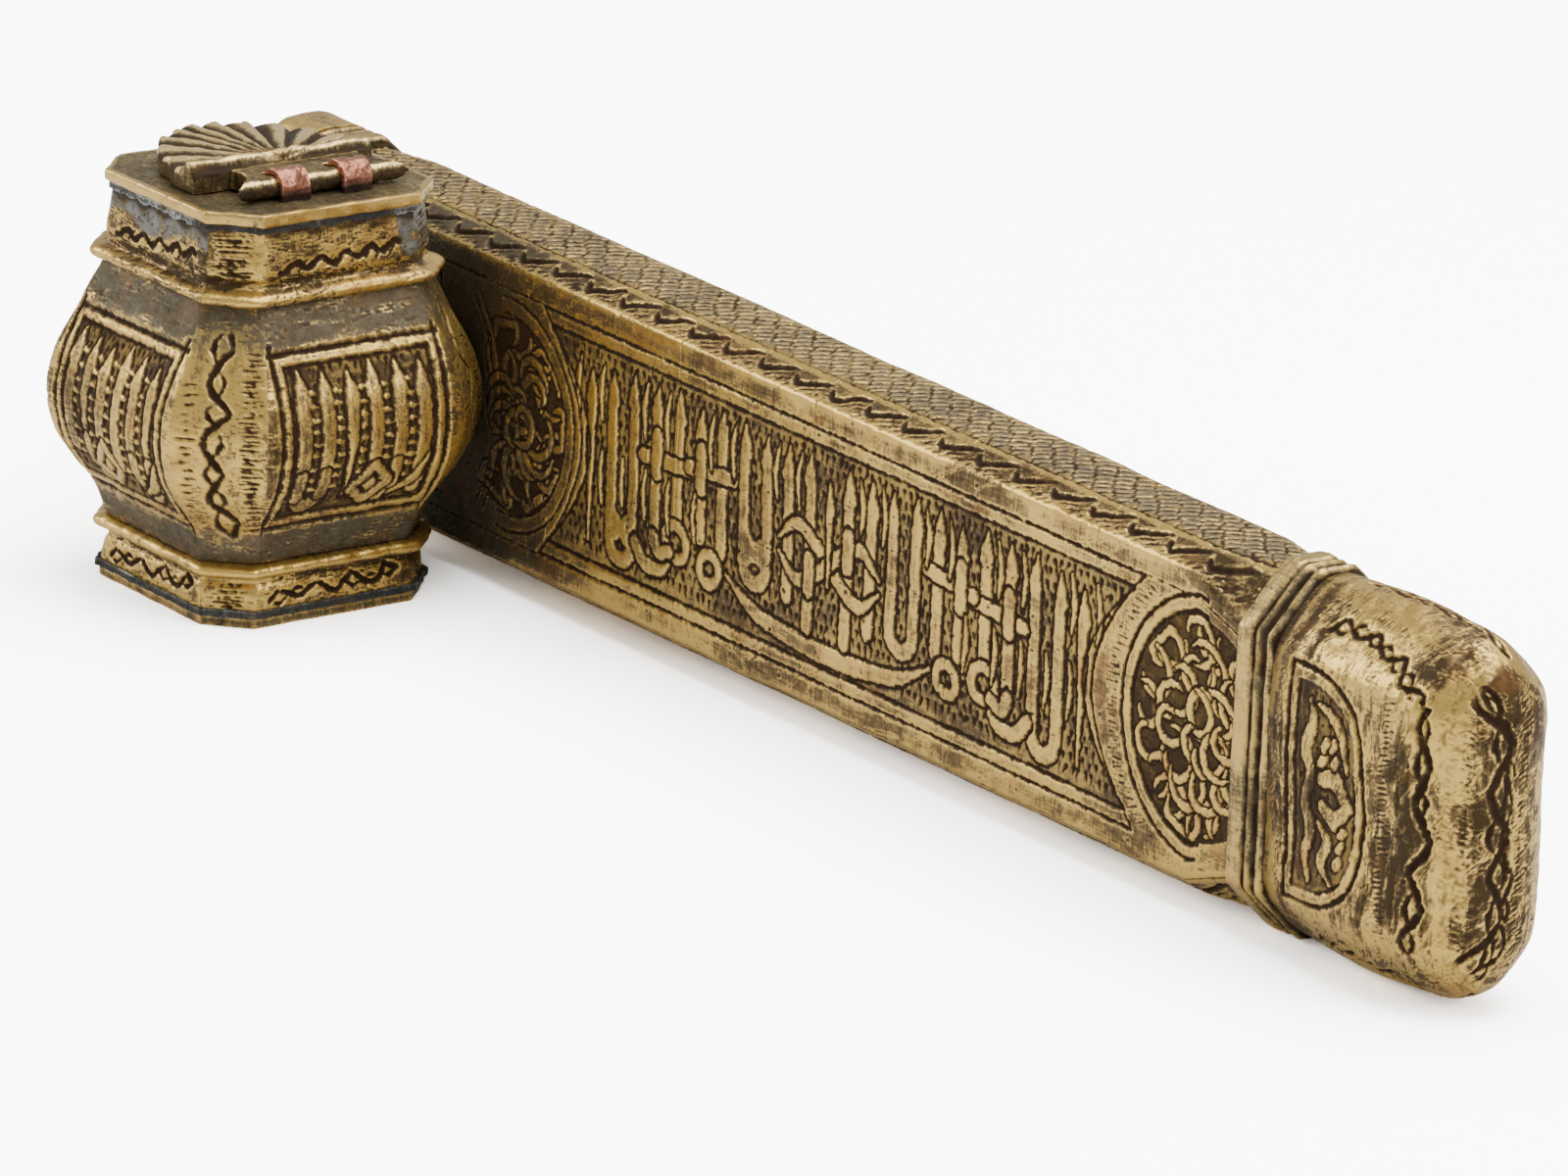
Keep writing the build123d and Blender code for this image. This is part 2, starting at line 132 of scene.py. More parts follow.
class Face:
    """The engraver's drawing on one face: u runs along it, v across it."""

    def __init__(self, u0, u1, v0, v1, step=0.1):
        self.u0, self.v0, self.step = u0, v0, step
        self.nu = int(round((u1 - u0) / step)) + 1
        self.nv = int(round((v1 - v0) / step)) + 1
        self.height = np.zeros((self.nv, self.nu), np.float32)
        self.cut = np.zeros_like(self.height)
        self.rub = np.zeros_like(self.height)
        self.hand = (0.055 * smooth_noise(self.height.shape, (step, step), 0.55)
                     + 0.03 * smooth_noise(self.height.shape, (step, step), 0.25)).astype(np.float32)

    def grids(self):
        """The u and v of every cell."""
        u = self.u0 + np.arange(self.nu) * self.step
        v = self.v0 + np.arange(self.nv) * self.step
        return np.meshgrid(u, v)

    def field(self, points, width, margin):
        """The stroke's window, and there half its width less the distance from its middle."""
        p = np.asarray(points, float)
        if np.ndim(width) and len(width) > len(p):
            t = np.linspace(0, len(p) - 1, 2 * len(width) - 1)
            p = np.stack([np.interp(t, np.arange(len(p)), p[:, k]) for k in (0, 1)], 1)
        w = np.broadcast_to(np.asarray(width, float), len(p)) if np.ndim(width) == 0 else np.interp(
            np.linspace(0, 1, len(p)), np.linspace(0, 1, len(width)), width)
        reach = w.max() / 2 + margin
        lo = np.floor((p.min(0) - reach - (self.u0, self.v0)) / self.step).astype(int)
        hi = np.ceil((p.max(0) + reach - (self.u0, self.v0)) / self.step).astype(int) + 1
        lo = np.maximum(lo, 0)
        hi = np.minimum(hi, (self.nu, self.nv))
        if (hi <= lo).any():
            return None, None
        window = (slice(lo[1], hi[1]), slice(lo[0], hi[0]))
        u = (self.u0 + np.arange(lo[0], hi[0]) * self.step)[None, :]
        v = (self.v0 + np.arange(lo[1], hi[1]) * self.step)[:, None]
        best = np.full((hi[1] - lo[1], hi[0] - lo[0]), -1e9, np.float32)
        for a, b, wa, wb in zip(p[:-1], p[1:], w[:-1], w[1:]):
            d = b - a
            t = np.clip(((u - a[0]) * d[0] + (v - a[1]) * d[1]) / max(d @ d, 1e-9), 0, 1)
            gap = np.hypot(u - a[0] - t * d[0], v - a[1] - t * d[1])
            np.maximum(best, (wa + (wb - wa) * t) / 2 - gap, out=best)
        return window, best + self.hand[window]

    def groove(self, points, width=0.6, depth=0.3, tone=1.0):
        """A cut line with sloping sides and a little burr along it."""
        window, f = self.field(points, width, 0.3)
        if window is None:
            return
        half = np.max(width) / 2
        share = np.clip(f / half, 0, 1)
        inside = f > 0
        deep = self.height[window]
        deep[inside] = np.minimum(deep, -depth * share ** 0.8)[inside]
        np.maximum(self.cut[window], tone * np.clip(share * 2.0, 0, 1), out=self.cut[window])
        burr = np.clip(1 - np.abs(f + 0.12) / 0.12, 0, 1)
        self.rub[window] += 0.5 * burr * (self.cut[window] < 0.2)

    def strap(self, points, width=1.9, outline=0.6, depth=0.34, crown=0.04):
        """A raised band left standing between two cut outlines, over all it crosses."""
        window, f = self.field(points, width, outline + 0.2)
        if window is None:
            return
        inside = f > 0
        side = np.clip(-f / outline, 0, 1)
        groove = np.where((f <= 0) & (f > -outline), 1 - np.abs(2 * side - 1), 0)
        h, c, r = self.height[window], self.cut[window], self.rub[window]
        h[inside] = (crown * np.clip(f / 0.5, 0, 1))[inside]
        c[inside] = 0
        r[inside] = 0.14
        ring = groove > 0
        h[ring] = np.minimum(h, -depth * groove)[ring]
        np.maximum(c, np.clip(groove * 2.2, 0, 1), out=c)
        r[ring] = 0

    def ground(self, mask, level=-0.1, tone=0.42):
        """A field set a little below the face and left dull."""
        self.height[mask] = level
        self.cut[mask] = tone

    def punch(self, u, v, length=1.1, width=0.75, angle=-90.0, depth=0.34):
        """One wedge-shaped punch mark."""
        a = math.radians(angle)
        end = (u + length * math.cos(a), v + length * math.sin(a))
        self.groove([(u, v), end], (width, 0.3), depth)

    def punches(self, inside, pitch=(1.2, 1.4), length=1.2, width=1.05):
        """Rows of wedges over the whole of a region."""
        u, v = self.grids()
        rows = np.arange(v.min(), v.max(), pitch[1])
        for k, row in enumerate(rows):
            for place in np.arange(u.min() + (k % 2) * pitch[0] / 2, u.max(), pitch[0]):
                a = place + rng.normal(0, 0.13)
                b = row + rng.normal(0, 0.13)
                if inside(a, b - length / 2):
                    self.punch(a, b, length * rng.uniform(0.7, 1.2), width * rng.uniform(0.75, 1.25),
                               -90 + rng.normal(0, 16))

    def ticks(self, start, end, count, length, direction, width=0.16, depth=0.07, tone=0.75):
        """A row of short fine cuts between two places."""
        for t in (np.arange(count) + 0.5) / count:
            u = start[0] + (end[0] - start[0]) * t + rng.normal(0, 0.06)
            v = start[1] + (end[1] - start[1]) * t + rng.normal(0, 0.06)
            a = math.radians(direction + rng.normal(0, 3.5))
            reach = length * rng.uniform(0.6, 1.15) / 2
            step = (reach * math.cos(a), reach * math.sin(a))
            self.groove([(u - step[0], v - step[1]), (u + step[0], v + step[1])],
                        (0.06, width, 0.06), depth, tone)

    def scratches(self, count, length=(2.0, 9.0), lean=(0.0, 14.0), tone=0.35, depth=0.025):
        """Fine scratches along one direction."""
        u1 = self.u0 + self.nu * self.step
        v1 = self.v0 + self.nv * self.step
        for _ in range(count):
            u, v = rng.uniform(self.u0, u1), rng.uniform(self.v0, v1)
            a = math.radians(rng.normal(*lean))
            reach = rng.uniform(*length) / 2
            bend = rng.normal(0, 0.1)
            self.groove(
                [(u - reach * math.cos(a), v - reach * math.sin(a)), (u + bend, v - bend),
                 (u + reach * math.cos(a), v + reach * math.sin(a))],
                (0.05, 0.13, 0.05), depth, tone)

    def pits(self, count, radius=(0.1, 0.26)):
        """Small pits scattered over the face."""
        u1 = self.u0 + self.nu * self.step
        v1 = self.v0 + self.nv * self.step
        for _ in range(count):
            u, v = rng.uniform(self.u0, u1), rng.uniform(self.v0, v1)
            r = rng.uniform(*radius)
            self.groove([(u, v), (u + rng.normal(0, 0.15), v)], 2 * r, 0.5 * r, 0.8)

    def sample(self, u, v):
        """Height, cut and rub at places on the face."""
        a = np.clip((u - self.u0) / self.step, 0, self.nu - 1.001)
        b = np.clip((v - self.v0) / self.step, 0, self.nv - 1.001)
        i, j = a.astype(int), b.astype(int)
        s, t = a - i, b - j
        out = []
        for f in (self.height, self.cut, self.rub):
            out.append((f[j, i] * (1 - s) + f[j, i + 1] * s) * (1 - t)
                       + (f[j + 1, i] * (1 - s) + f[j + 1, i + 1] * s) * t)
        return out


# ---- Ornament motifs ------------------------------------------------------------------------


def spear(face, u, low, high, width=1.9, barb=1, lean=0.0, foot=True):
    """A tall stem that ends in a one-sided spear head."""
    top = u + lean
    head = min(3.6, (high - low) * 0.35)
    line = [(u, low), (u + lean * 0.6, high - head), (top + 0.16 * barb, high - head + 0.3),
            (top + 0.1 * barb, high - head * 0.55), (top, high)]
    start = width if foot else 0.2
    face.strap(np.array(line), (start, width * 0.92, width * 1.12, width * 0.8, 0.05))
    face.groove([(u + width * 0.75 * barb + lean * 0.6, high - head - 0.5),
                 (u + width * 1.0 * barb + lean * 0.6, high - head + 0.9)], (0.75, 0.1), 0.26)


def joined(face, u1, u2, bottom, high1, high2, width=1.9):
    """Two stems that join in a round turn at their feet, as one band."""
    radius = abs(u2 - u1) / 2
    turn = arc((u1 + u2) / 2, bottom + radius, radius, 180, 360, 14)
    for u, high, side in ((u1, high1, -1), (u2, high2, 1)):
        spear(face, u, bottom + radius, high, width, side)
    legs = [(u1, bottom + radius + 3.0)] + [tuple(q) for q in turn] + [(u2, bottom + radius + 3.0)]
    face.strap(np.array(legs), width * 0.95)
    for u in (u1, u2):
        face.strap([(u, bottom + radius + 1.5), (u, bottom + radius + 4.4)], width * 0.93, outline=0.01)


def eyelet(face, u, v, size=2.6, turn=0.0, width=1.25):
    """A teardrop loop with a dark eye."""
    a = np.radians(np.linspace(0, 360, 30))
    r = size * (0.72 + 0.28 * np.cos(a))
    c, s = math.cos(math.radians(turn)), math.sin(math.radians(turn))
    x, y = r * np.cos(a), r * np.sin(a) * 0.85
    face.strap(np.stack([u + x * c - y * s, v + x * s + y * c], 1), width)
    face.groove([(u - 0.15, v), (u + 0.15, v - 0.2)], size * 0.42, 0.28)


def leaf(face, points, width=1.1):
    """A curved leaf, pointed at both ends."""
    face.strap(curve(points, 5), (0.15, width * 0.8, width, width * 0.75, 0.05), outline=0.5)


def chain(face, line, swing=0.85, links=9, width=0.7, depth=0.36):
    """A bent line that zigzags unevenly, with other strokes that close most of its bends into eyes."""
    middle = curve(line, 10)
    along = np.concatenate([[0], np.cumsum(np.hypot(*np.diff(middle, axis=0).T))])
    t = np.linspace(0, along[-1], links * 8 + 1)
    q = np.stack([np.interp(t, along, middle[:, 0]), np.interp(t, along, middle[:, 1])], 1)
    d = np.gradient(q, axis=0)
    n = np.stack([-d[:, 1], d[:, 0]], 1) / np.maximum(np.hypot(*d.T), 1e-9)[:, None]
    place, knots = np.arange(len(t)) / 8, np.arange(links + 2)
    uneven = np.interp(place, knots, rng.uniform(0.6, 1.25, links + 2))
    phase = np.pi * (place + np.interp(place, knots, rng.normal(0, 0.09, links + 2)))
    zigzag = 0.35 * np.sin(phase) + 0.65 * np.arcsin(np.sin(phase)) * 2 / np.pi
    bend = (swing * uneven * zigzag)[:, None] * n
    face.groove(q + bend, width * (0.55 + 0.6 * np.abs(np.cos(phase))), depth)
    face.groove(q + bend * 0.96 + 0.28 * width * n, width * 0.5, depth * 0.9)
    for k in range(links):
        part = slice(8 * k, 8 * k + 9)
        kind = rng.random()
        if kind < 0.82:
            face.groove(q[part] - 0.78 * bend[part], (0.35 * width, 0.82 * width, 0.35 * width), depth * 0.9)
        elif kind < 0.85:
            face.groove((q + bend)[part] + 1.05 * width * n[part], (0.1, 0.42 * width, 0.1), depth * 0.7)


def wavy(face, start, end, waves, swing=0.6, width=0.4):
    """A single running wave with small strokes in its hollows."""
    t = np.linspace(0, 1, waves * 8 + 1)
    u = start[0] + (end[0] - start[0]) * t
    v = start[1] + (end[1] - start[1]) * t + swing * np.sin(2 * np.pi * waves * t)
    face.groove(np.stack([u, v], 1), width, 0.24)
    for k in range(waves):
        c = (k + 0.7) / waves
        a = start[0] + (end[0] - start[0]) * c
        face.groove([(a - 0.5, start[1] - 0.25), (a + 0.55, start[1] + 0.35)], (0.1, 0.34, 0.1), 0.16)


def arabesque(face, u, v, radius, keep):
    """Curling shoots packed round a centre, with dark gaps between them."""
    gu, gv = face.grids()
    mask = (np.hypot(gu - u, gv - v) < radius) & keep(gu, gv)
    face.ground(mask, -0.14, 0.9)
    for ring, count in ((radius * 0.82, 20), (radius * 0.52, 14), (radius * 0.2, 7)):
        for k in range(count):
            a = 2 * math.pi * (k + 0.37 * ring) / count + rng.normal(0, 0.05)
            cu, cv = u + ring * math.cos(a), v + ring * math.sin(a)
            if keep(cu, cv):
                r, turn, way = rng.uniform(1.9, 2.9), rng.uniform(0, 360), rng.choice((-1, 1))
                line = arc(cu, cv, r, turn, turn + way * rng.uniform(190, 320), 20)
                line = line + (line - (cu, cv)) * np.linspace(0.45, -0.35, 20)[:, None]
                line = line[np.hypot(line[:, 0] - u, line[:, 1] - v) < radius - 0.5]
                if len(line) > 3:
                    face.strap(line, (0.2, 0.85, 0.95, 0.9, 0.75, 0.25), outline=0.38)


def strapwork(face, low, high):
    """The long panel: bands mirrored about its middle, with stems, forks, ties, rings and loops."""
    middle = 6.75

    def at(points, way):
        """Points measured from the middle, to the right or to the left of it."""
        return [(middle + way * u, v) for u, v in points]

    def outer(way):
        """The outer stems and their loop, on one side."""
        spear(face, middle + way * 46.8, low + 2.0, high - 2.6, 1.8, way, foot=False)
        joined(face, middle + way * 38.2, middle + way * 42.6, low + 1.3, high - 1.0, high - 1.8)
        bowl = [(29.8, low + 4.4), (32.2, low + 2.3), (35.4, low + 2.2), (37.4, low + 4.2)]
        face.strap(curve(at(bowl, way)), (0.3, 1.5, 1.7, 1.6))
        spear(face, middle + way * 33.6, low + 5.4, high - 1.1, 1.9, way)
        spear(face, middle + way * 29.3, low + 9.0, high - 0.6, 1.9, -way)
        face.strap(at([(26.9, 3.0), (36.4, 2.4)], way), 1.5)
        face.strap(at([(33.6, 1.2), (33.6, 5.2)], way), 1.85)
        eyelet(face, middle + way * 28.6, low + 6.0, 2.9, 90 - 70 * way)
        face.strap(curve(at([(30.6, low + 4.8), (32.8, low + 4.2), (33.8, low + 5.8)], way)), (1.3, 1.6, 1.8))

    def inner(way):
        """The inner stems and their loop, on one side."""
        spear(face, middle + way * 24.8, low + 8.2, high - 1.5, 1.9, way)
        spear(face, middle + way * 20.6, low + 7.4, high - 0.7, 1.9, way)
        face.strap(at([(18.4, 4.2), (27.2, 3.4)], way), 1.5)
        face.strap(at([(24.8, 1.6), (24.8, 6.0)], way), 1.85)
        eyelet(face, middle + way * 23.4, low + 4.6, 2.6, 90 + 70 * way)
        joined(face, middle + way * 11.9, middle + way * 16.3, low + 5.6, high - 1.3, high - 0.8)
        spear(face, middle + way * 7.8, low + 6.0, high - 1.2, 1.9, way)

    for draw in (outer, inner):
        for way in (1, -1):
            draw(way)
    half_boat = [(19.6, low + 5.2), (14.0, low + 2.5), (7.0, low + 1.5)]
    boat = [(-u, v) for u, v in half_boat] + [(0, low + 1.3)] + half_boat[::-1]
    face.strap(curve(at(boat, 1)), (0.3, 1.6, 2.0, 2.1, 2.0, 1.6, 0.3))
    for way in (1, -1):
        spear(face, middle + way * 3.6, low + 3.6, high - 0.9, 1.9, way)
    crossing = [(-9.6, 0.2), (-6.0, 2.6), (-2.2, 1.0), (2.2, -2.2), (6.0, -3.8), (9.6, -1.4)]
    for band in (crossing, [(-u, v) for u, v in crossing[::-1]]):
        face.strap(curve(at(band, 1)), (0.3, 1.5, 1.6, 1.6, 1.5, 0.3))
    face.strap(at([(3.6, 0.2), (3.6, 3.6)], 1), 1.85)
    face.strap(at([(-3.6, -4.4), (-3.6, -1.0)], 1), 1.85)
    spear(face, middle, low + 9.0, high - 3.2, 1.3, 1, foot=False)
    for way in (1, -1):
        for u in (5.8, 10.0, 18.4, 22.8, 31.6, 36.0, 44.8, 49.4):
            leaf(face, at([(u - 0.3, high - 1.4), (u + 0.35, high - 4.6), (u - 0.1, high - 8.0)], way), 0.8)
        for u in (25.8, 31.0, 35.8, 40.4, 44.6):
            leaf(face, at([(u, 0.8), (u + 0.3, -2.2), (u - 0.2, -5.6)], way), 0.75)


def stem_nicks(face, low, high):
    """Tiny level nicks down the stems."""
    for u in np.arange(-40.0, 54.0, 2.35):
        for v in np.arange(low + 6.0, high - 3.0, 2.1):
            if rng.random() < 0.35:
                a = rng.uniform(-0.4, 0.4)
                face.groove([(u - 0.4, v + a), (u + 0.4, v + a + 0.1)], (0.08, 0.26, 0.08), 0.1, 0.7)


PANEL_HALF = 14.4


def panel_sides(v, half):
    """Where the long panel's hollow ends lie at a height."""
    bow = (np.abs(v) / half) ** 1.8
    return -41.9 - 8.2 * bow, 55.4 + 8.4 * bow


def border_line(inset):
    """The panel's hollow ends, drawn in by inset."""
    v = np.linspace(-(PANEL_HALF - inset), PANEL_HALF - inset, 31)
    left, right = panel_sides(v, PANEL_HALF - inset)
    side = inset * 0.9
    return (np.stack([left + side, v], 1), np.stack([right - side, v], 1))


def draw_front(face):
    """The broad face: a long panel between two roundels."""
    half = PANEL_HALF
    face.scratches(260, (2.0, 8.0), (20.0, 30.0), 0.3, 0.02)
    gu, gv = face.grids()
    left, right = panel_sides(gv, half - 1.8)
    face.ground((np.abs(gv) < half - 1.8) & (gu > left + 1.6) & (gu < right - 1.6))

    def in_panel(u, v):
        """Whether a place is well within the panel."""
        if abs(v) > half - 2.3:
            return False
        a, b = panel_sides(v, half - 1.8)
        return a + 2.1 < u < b - 2.1

    face.punches(in_panel)
    strapwork(face, -(half - 2.2), half - 2.2)
    stem_nicks(face, -(half - 2.2), half - 2.2)
    for inset, width in ((0.0, 0.55), (1.8, 0.72)):
        left_line, right_line = border_line(inset)
        face.groove(left_line, width, 0.32)
        face.groove(right_line, width, 0.32)
        for side in (-1, 1):
            v = side * (half - inset)
            face.groove([(left_line[0][0], v), (right_line[0][0], v)], width, 0.32)
    # Near roundel, and the ticked band between it and the panel.
    face.groove(arc(76.0, 0, 15.2, 95, 265, 40), 0.7, 0.32)
    arabesque(face, 76.0, 0, 13.2, lambda u, v: u < 90)
    face.groove(arc(76.0, 0, 13.4, 95, 265, 40), 0.85, 0.34)
    for angle in np.arange(128, 233, 3.2):
        a = math.radians(angle)
        u, v = 76.0 + 16.9 * math.cos(a), 16.9 * math.sin(a)
        face.ticks((u, v), (u, v), 1, 2.3, 2 + (angle - 180) * 0.25, 0.26, 0.1, 0.8)
    # Far roundel, clipped on its far side by a double arc.
    clip = curve([(-63.4, 12.7), (-60.2, 7.5), (-58.6, 0), (-59.6, -7.0), (-62.0, -12.3)])

    def right_of_clip(u, v):
        """Whether a place is on the +X side of the double arc."""
        return u > np.interp(v, clip[::-1, 1], clip[::-1, 0])

    arabesque(face, -56.4, 0, 11.4, right_of_clip)
    face.groove(arc(-57.0, 0, 13.6, -98, 98, 40), 0.5, 0.24)
    face.groove(arc(-57.0, 0, 11.7, -98, 98, 40), 0.5, 0.24)
    face.groove(clip, 0.5, 0.24)
    face.groove(clip + (-1.5, 0), 0.4, 0.2)
    for v in (14.6, -14.6):
        face.groove([(-98, v), (-50.3, v)], 0.3, 0.14)
    face.groove([(64.2, 14.6), (80.9, 14.6)], 0.26, 0.12)
    for v in np.arange(-13.5, 13.5, 1.4):
        face.ticks((-42.6 - 8 * (abs(v) / 14) ** 1.8, v), (-42.6, v), 1, 1.0, 0, 0.14, 0.06, 0.6)
    # Behind the pot, and on the back: a bordered chain before the mouth.
    for u in (-73.0, -71.6, -94.0, -95.4):
        face.groove([(u, -12.6), (u, 12.6)], 0.55, 0.28)
    for v in np.arange(-10.5, 10.6, 4.2):
        leaf(face, [(-91.5, v - 1.0), (-87.5, v + 1.2), (-83.7, v)], 1.5)
        leaf(face, [(-75.5, v - 1.0), (-79.5, v + 1.2), (-83.3, v)], 1.5)
    face.pits(170)


def draw_edge_strokes(face):
    """The slanted edge: a running row of bent strokes, fine cuts below each and a chipped lower rim."""
    pitch = 6.85
    gu, gv = face.grids()
    for u in np.arange(-95.5, 79.0, pitch):
        j = rng.normal(0, 0.1, 5)
        stroke = curve([
            (u - 3.1, 0.15 + j[0]), (u - 2.8, -0.4), (u - 2.1, -0.75 + j[1]), (u - 0.6, -0.35 + j[2]),
            (u + 1.2, 0.3 + j[3]), (u + 2.8, 0.85 + j[4]), (u + 3.7, 0.8)], 5)
        face.groove(stroke, (0.6, 1.05, 1.1, 0.95, 0.9, 0.65, 0.1), 0.48)
        face.groove(stroke[12:-8] + (0.5, -0.74), (0.1, 0.36, 0.32, 0.1), 0.2, 0.9)
        face.groove(stroke[14:-6] + (1.3, -1.25), (0.1, 0.32, 0.1), 0.16, 0.8)
        for n in range(5):
            a = u - 2.9 + n * 1.35 + rng.normal(0, 0.1)
            b = rng.uniform(0.8, 1.2)
            face.groove([(a, -1.9), (a + 0.95 * b, -1.5 + 0.2 * (n % 2)), (a + 1.7 * b, -1.15)],
                        (0.1, 0.34, 0.08), 0.18, 0.85)
        if rng.random() < 0.6:
            bump = np.hypot(gu - u + 3.1, gv - 0.4) < 0.4
            face.height[bump] += 0.08
            face.rub[bump] += 0.5
    face.groove([(-100, 2.0), (81, 2.0)], 0.5, 0.24)
    face.rub += 0.5 * np.clip((gv - 0.9) / 0.4, 0, 1) + 0.5 * np.clip((-1.3 - gv) / 0.4, 0, 1) - 0.42
    face.scratches(200, (1.0, 4.0), (22.0, 16.0), 0.45, 0.03)


def draw_weave(face):
    """The top: bricks of short cuts laid aslant, packed like a basket's weave."""
    lean, spacing, brick = math.radians(53), 1.5, 2.3
    d = np.array((math.cos(lean), math.sin(lean)))
    n = np.array((math.sin(lean), -math.cos(lean)))
    reach = 4.3 / d[1]
    for k, start in enumerate(np.arange(-104.0, 88.0, spacing / d[1])):
        t = -reach + (k % 2) * brick / 2 + rng.normal(0, 0.15)
        while t < reach:
            length = min(brick * rng.uniform(0.8, 1.1), reach - t)
            a = np.array((start, 0.0)) + d * t + rng.normal(0, 0.08, 2)
            if length > 0.4:
                face.groove([a, a + d * length], (0.55, 0.85, 0.5), 0.34, 1.0)
                face.groove([a, a + n * spacing - d * 0.35], (0.5, 0.4, 0.3), 0.22, 1.0)
            t += brick
    face.rub -= 0.2
    face.scratches(160, (2.0, 7.0), (30.0, 30.0), 0.35, 0.02)


# ---- Meshes ---------------------------------------------------------------------------------


def blur(f, cells):
    """A grid smoothed by box filters, each way twice."""
    n = max(int(cells), 1)
    for axis in (0, 1, 0, 1):
        pad = [(0, 0), (0, 0)]
        pad[axis] = (n + 1, n)
        c = np.cumsum(np.pad(f, pad, mode="edge"), axis=axis, dtype=np.float64)
        after = np.take(c, range(2 * n + 1, c.shape[axis]), axis)
        f = (after - np.take(c, range(0, c.shape[axis] - 2 * n - 1), axis)) / (2 * n + 1)
    return f


def placed(name, data):
    """A new object in the scene."""
    ob = bpy.data.objects.new(name, data)
    bpy.context.scene.collection.objects.link(ob)
    return ob


def stands_for(ob, body, node):
    """Rides a piece on a body, in the place of a CAD node."""
    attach(ob, body)
    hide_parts(node)


def make_mesh(name, points, quads, flat, attributes, body, material, node):
    """A mesh object from arrays, riding on a body and standing for a CAD node."""
    me = bpy.data.meshes.new(name)
    me.vertices.add(len(points))
    me.vertices.foreach_set("co", (np.asarray(points) * MM).astype(np.float32).ravel())
    me.loops.add(quads.size)
    me.loops.foreach_set("vertex_index", quads.astype(np.int32).ravel())
    me.polygons.add(len(quads))
    me.polygons.foreach_set("loop_start", np.arange(0, quads.size, 4, dtype=np.int32))
    me.update(calc_edges=True)
    me.polygons.foreach_set("use_smooth", ~flat)
    for key, values in attributes.items():
        me.attributes.new(key, "FLOAT", "POINT").data.foreach_set("value", values.astype(np.float32).ravel())
    me.validate()
    me.materials.append(material)
    stands_for(placed(name, me), body, node)


def ring_weights(counts, lengths, soft):
    """Weights of the eight corners for each sample round a section, with corners rounded by soft."""
    start = np.concatenate([[0], np.cumsum(lengths)])
    total = start[-1]
    fine = 4096
    s = (np.arange(fine) + 0.5) / fine * total
    hats = np.zeros((fine, 8))
    for k in range(8):
        inside = (s >= start[k]) & (s < start[k + 1])
        t = (s[inside] - start[k]) / lengths[k]
        hats[inside, k] += 1 - t
        hats[inside, (k + 1) % 8] += t
    freq = np.fft.rfftfreq(fine, total / fine)
    keep = np.exp(-2 * (np.pi * freq * soft) ** 2)
    hats = np.fft.irfft(np.fft.rfft(hats, axis=0) * keep[:, None], n=fine, axis=0)
    faces = np.repeat(np.arange(8), counts)
    shares = np.concatenate([np.arange(n) / n for n in counts])
    places = start[faces] + shares * np.asarray(lengths)[faces]
    full = np.concatenate([s - total, s, s + total])
    weights = np.stack([np.interp(places, full, np.tile(hats[:, k], 3)) for k in range(8)], 1)
    return weights, faces, shares


def octagon_corners(half_a, half_b, cut_a, cut_b):
    """Corners of cut rectangles, one row per station, from the -a face's -b end."""
    a, b = np.asarray(half_a, float), np.asarray(half_b, float)
    ca, cb = np.broadcast_to(cut_a, a.shape), np.broadcast_to(cut_b, a.shape)
    corners = [(-a, cb - b), (-a, b - cb), (ca - a, b), (a - ca, b),
               (a, b - cb), (a, cb - b), (a - ca, -b), (ca - a, -b)]
    return np.stack([np.stack(corner, -1) for corner in corners], 1)


def normals_of(p):
    """Outward normals of a grid that is closed round its second axis."""
    round_way = np.roll(p, -1, 1) - np.roll(p, 1, 1)
    along = np.gradient(p, axis=0)
    n = np.cross(along, round_way)
    return n / np.maximum(np.linalg.norm(n, axis=2, keepdims=True), 1e-9)


def closed_ring(outer, inner):
    """Quads of a wall closed round both ways: the outer grid and, back again, the inner one."""
    p = np.concatenate([outer, inner[::-1]])
    n, m = p.shape[:2]
    a = np.arange(n * m).reshape(n, m)
    b = np.roll(a, -1, 0)
    quads = np.stack([a, b, np.roll(b, -1, 1), np.roll(a, -1, 1)], -1)
    flat = np.zeros((n, m), bool)
    flat[[len(outer) - 1, n - 1]] = True
    return p.reshape(-1, 3), quads.reshape(-1, 4), flat.ravel()


def edge_wear(faces, shares, lengths, reach):
    """1 at a section's corners, falling to 0 within reach."""
    near = np.minimum(shares, 1 - shares) * np.asarray(lengths)[faces]
    return np.exp(-(near / reach) ** 2)


# ---- Materials ------------------------------------------------------------------------------


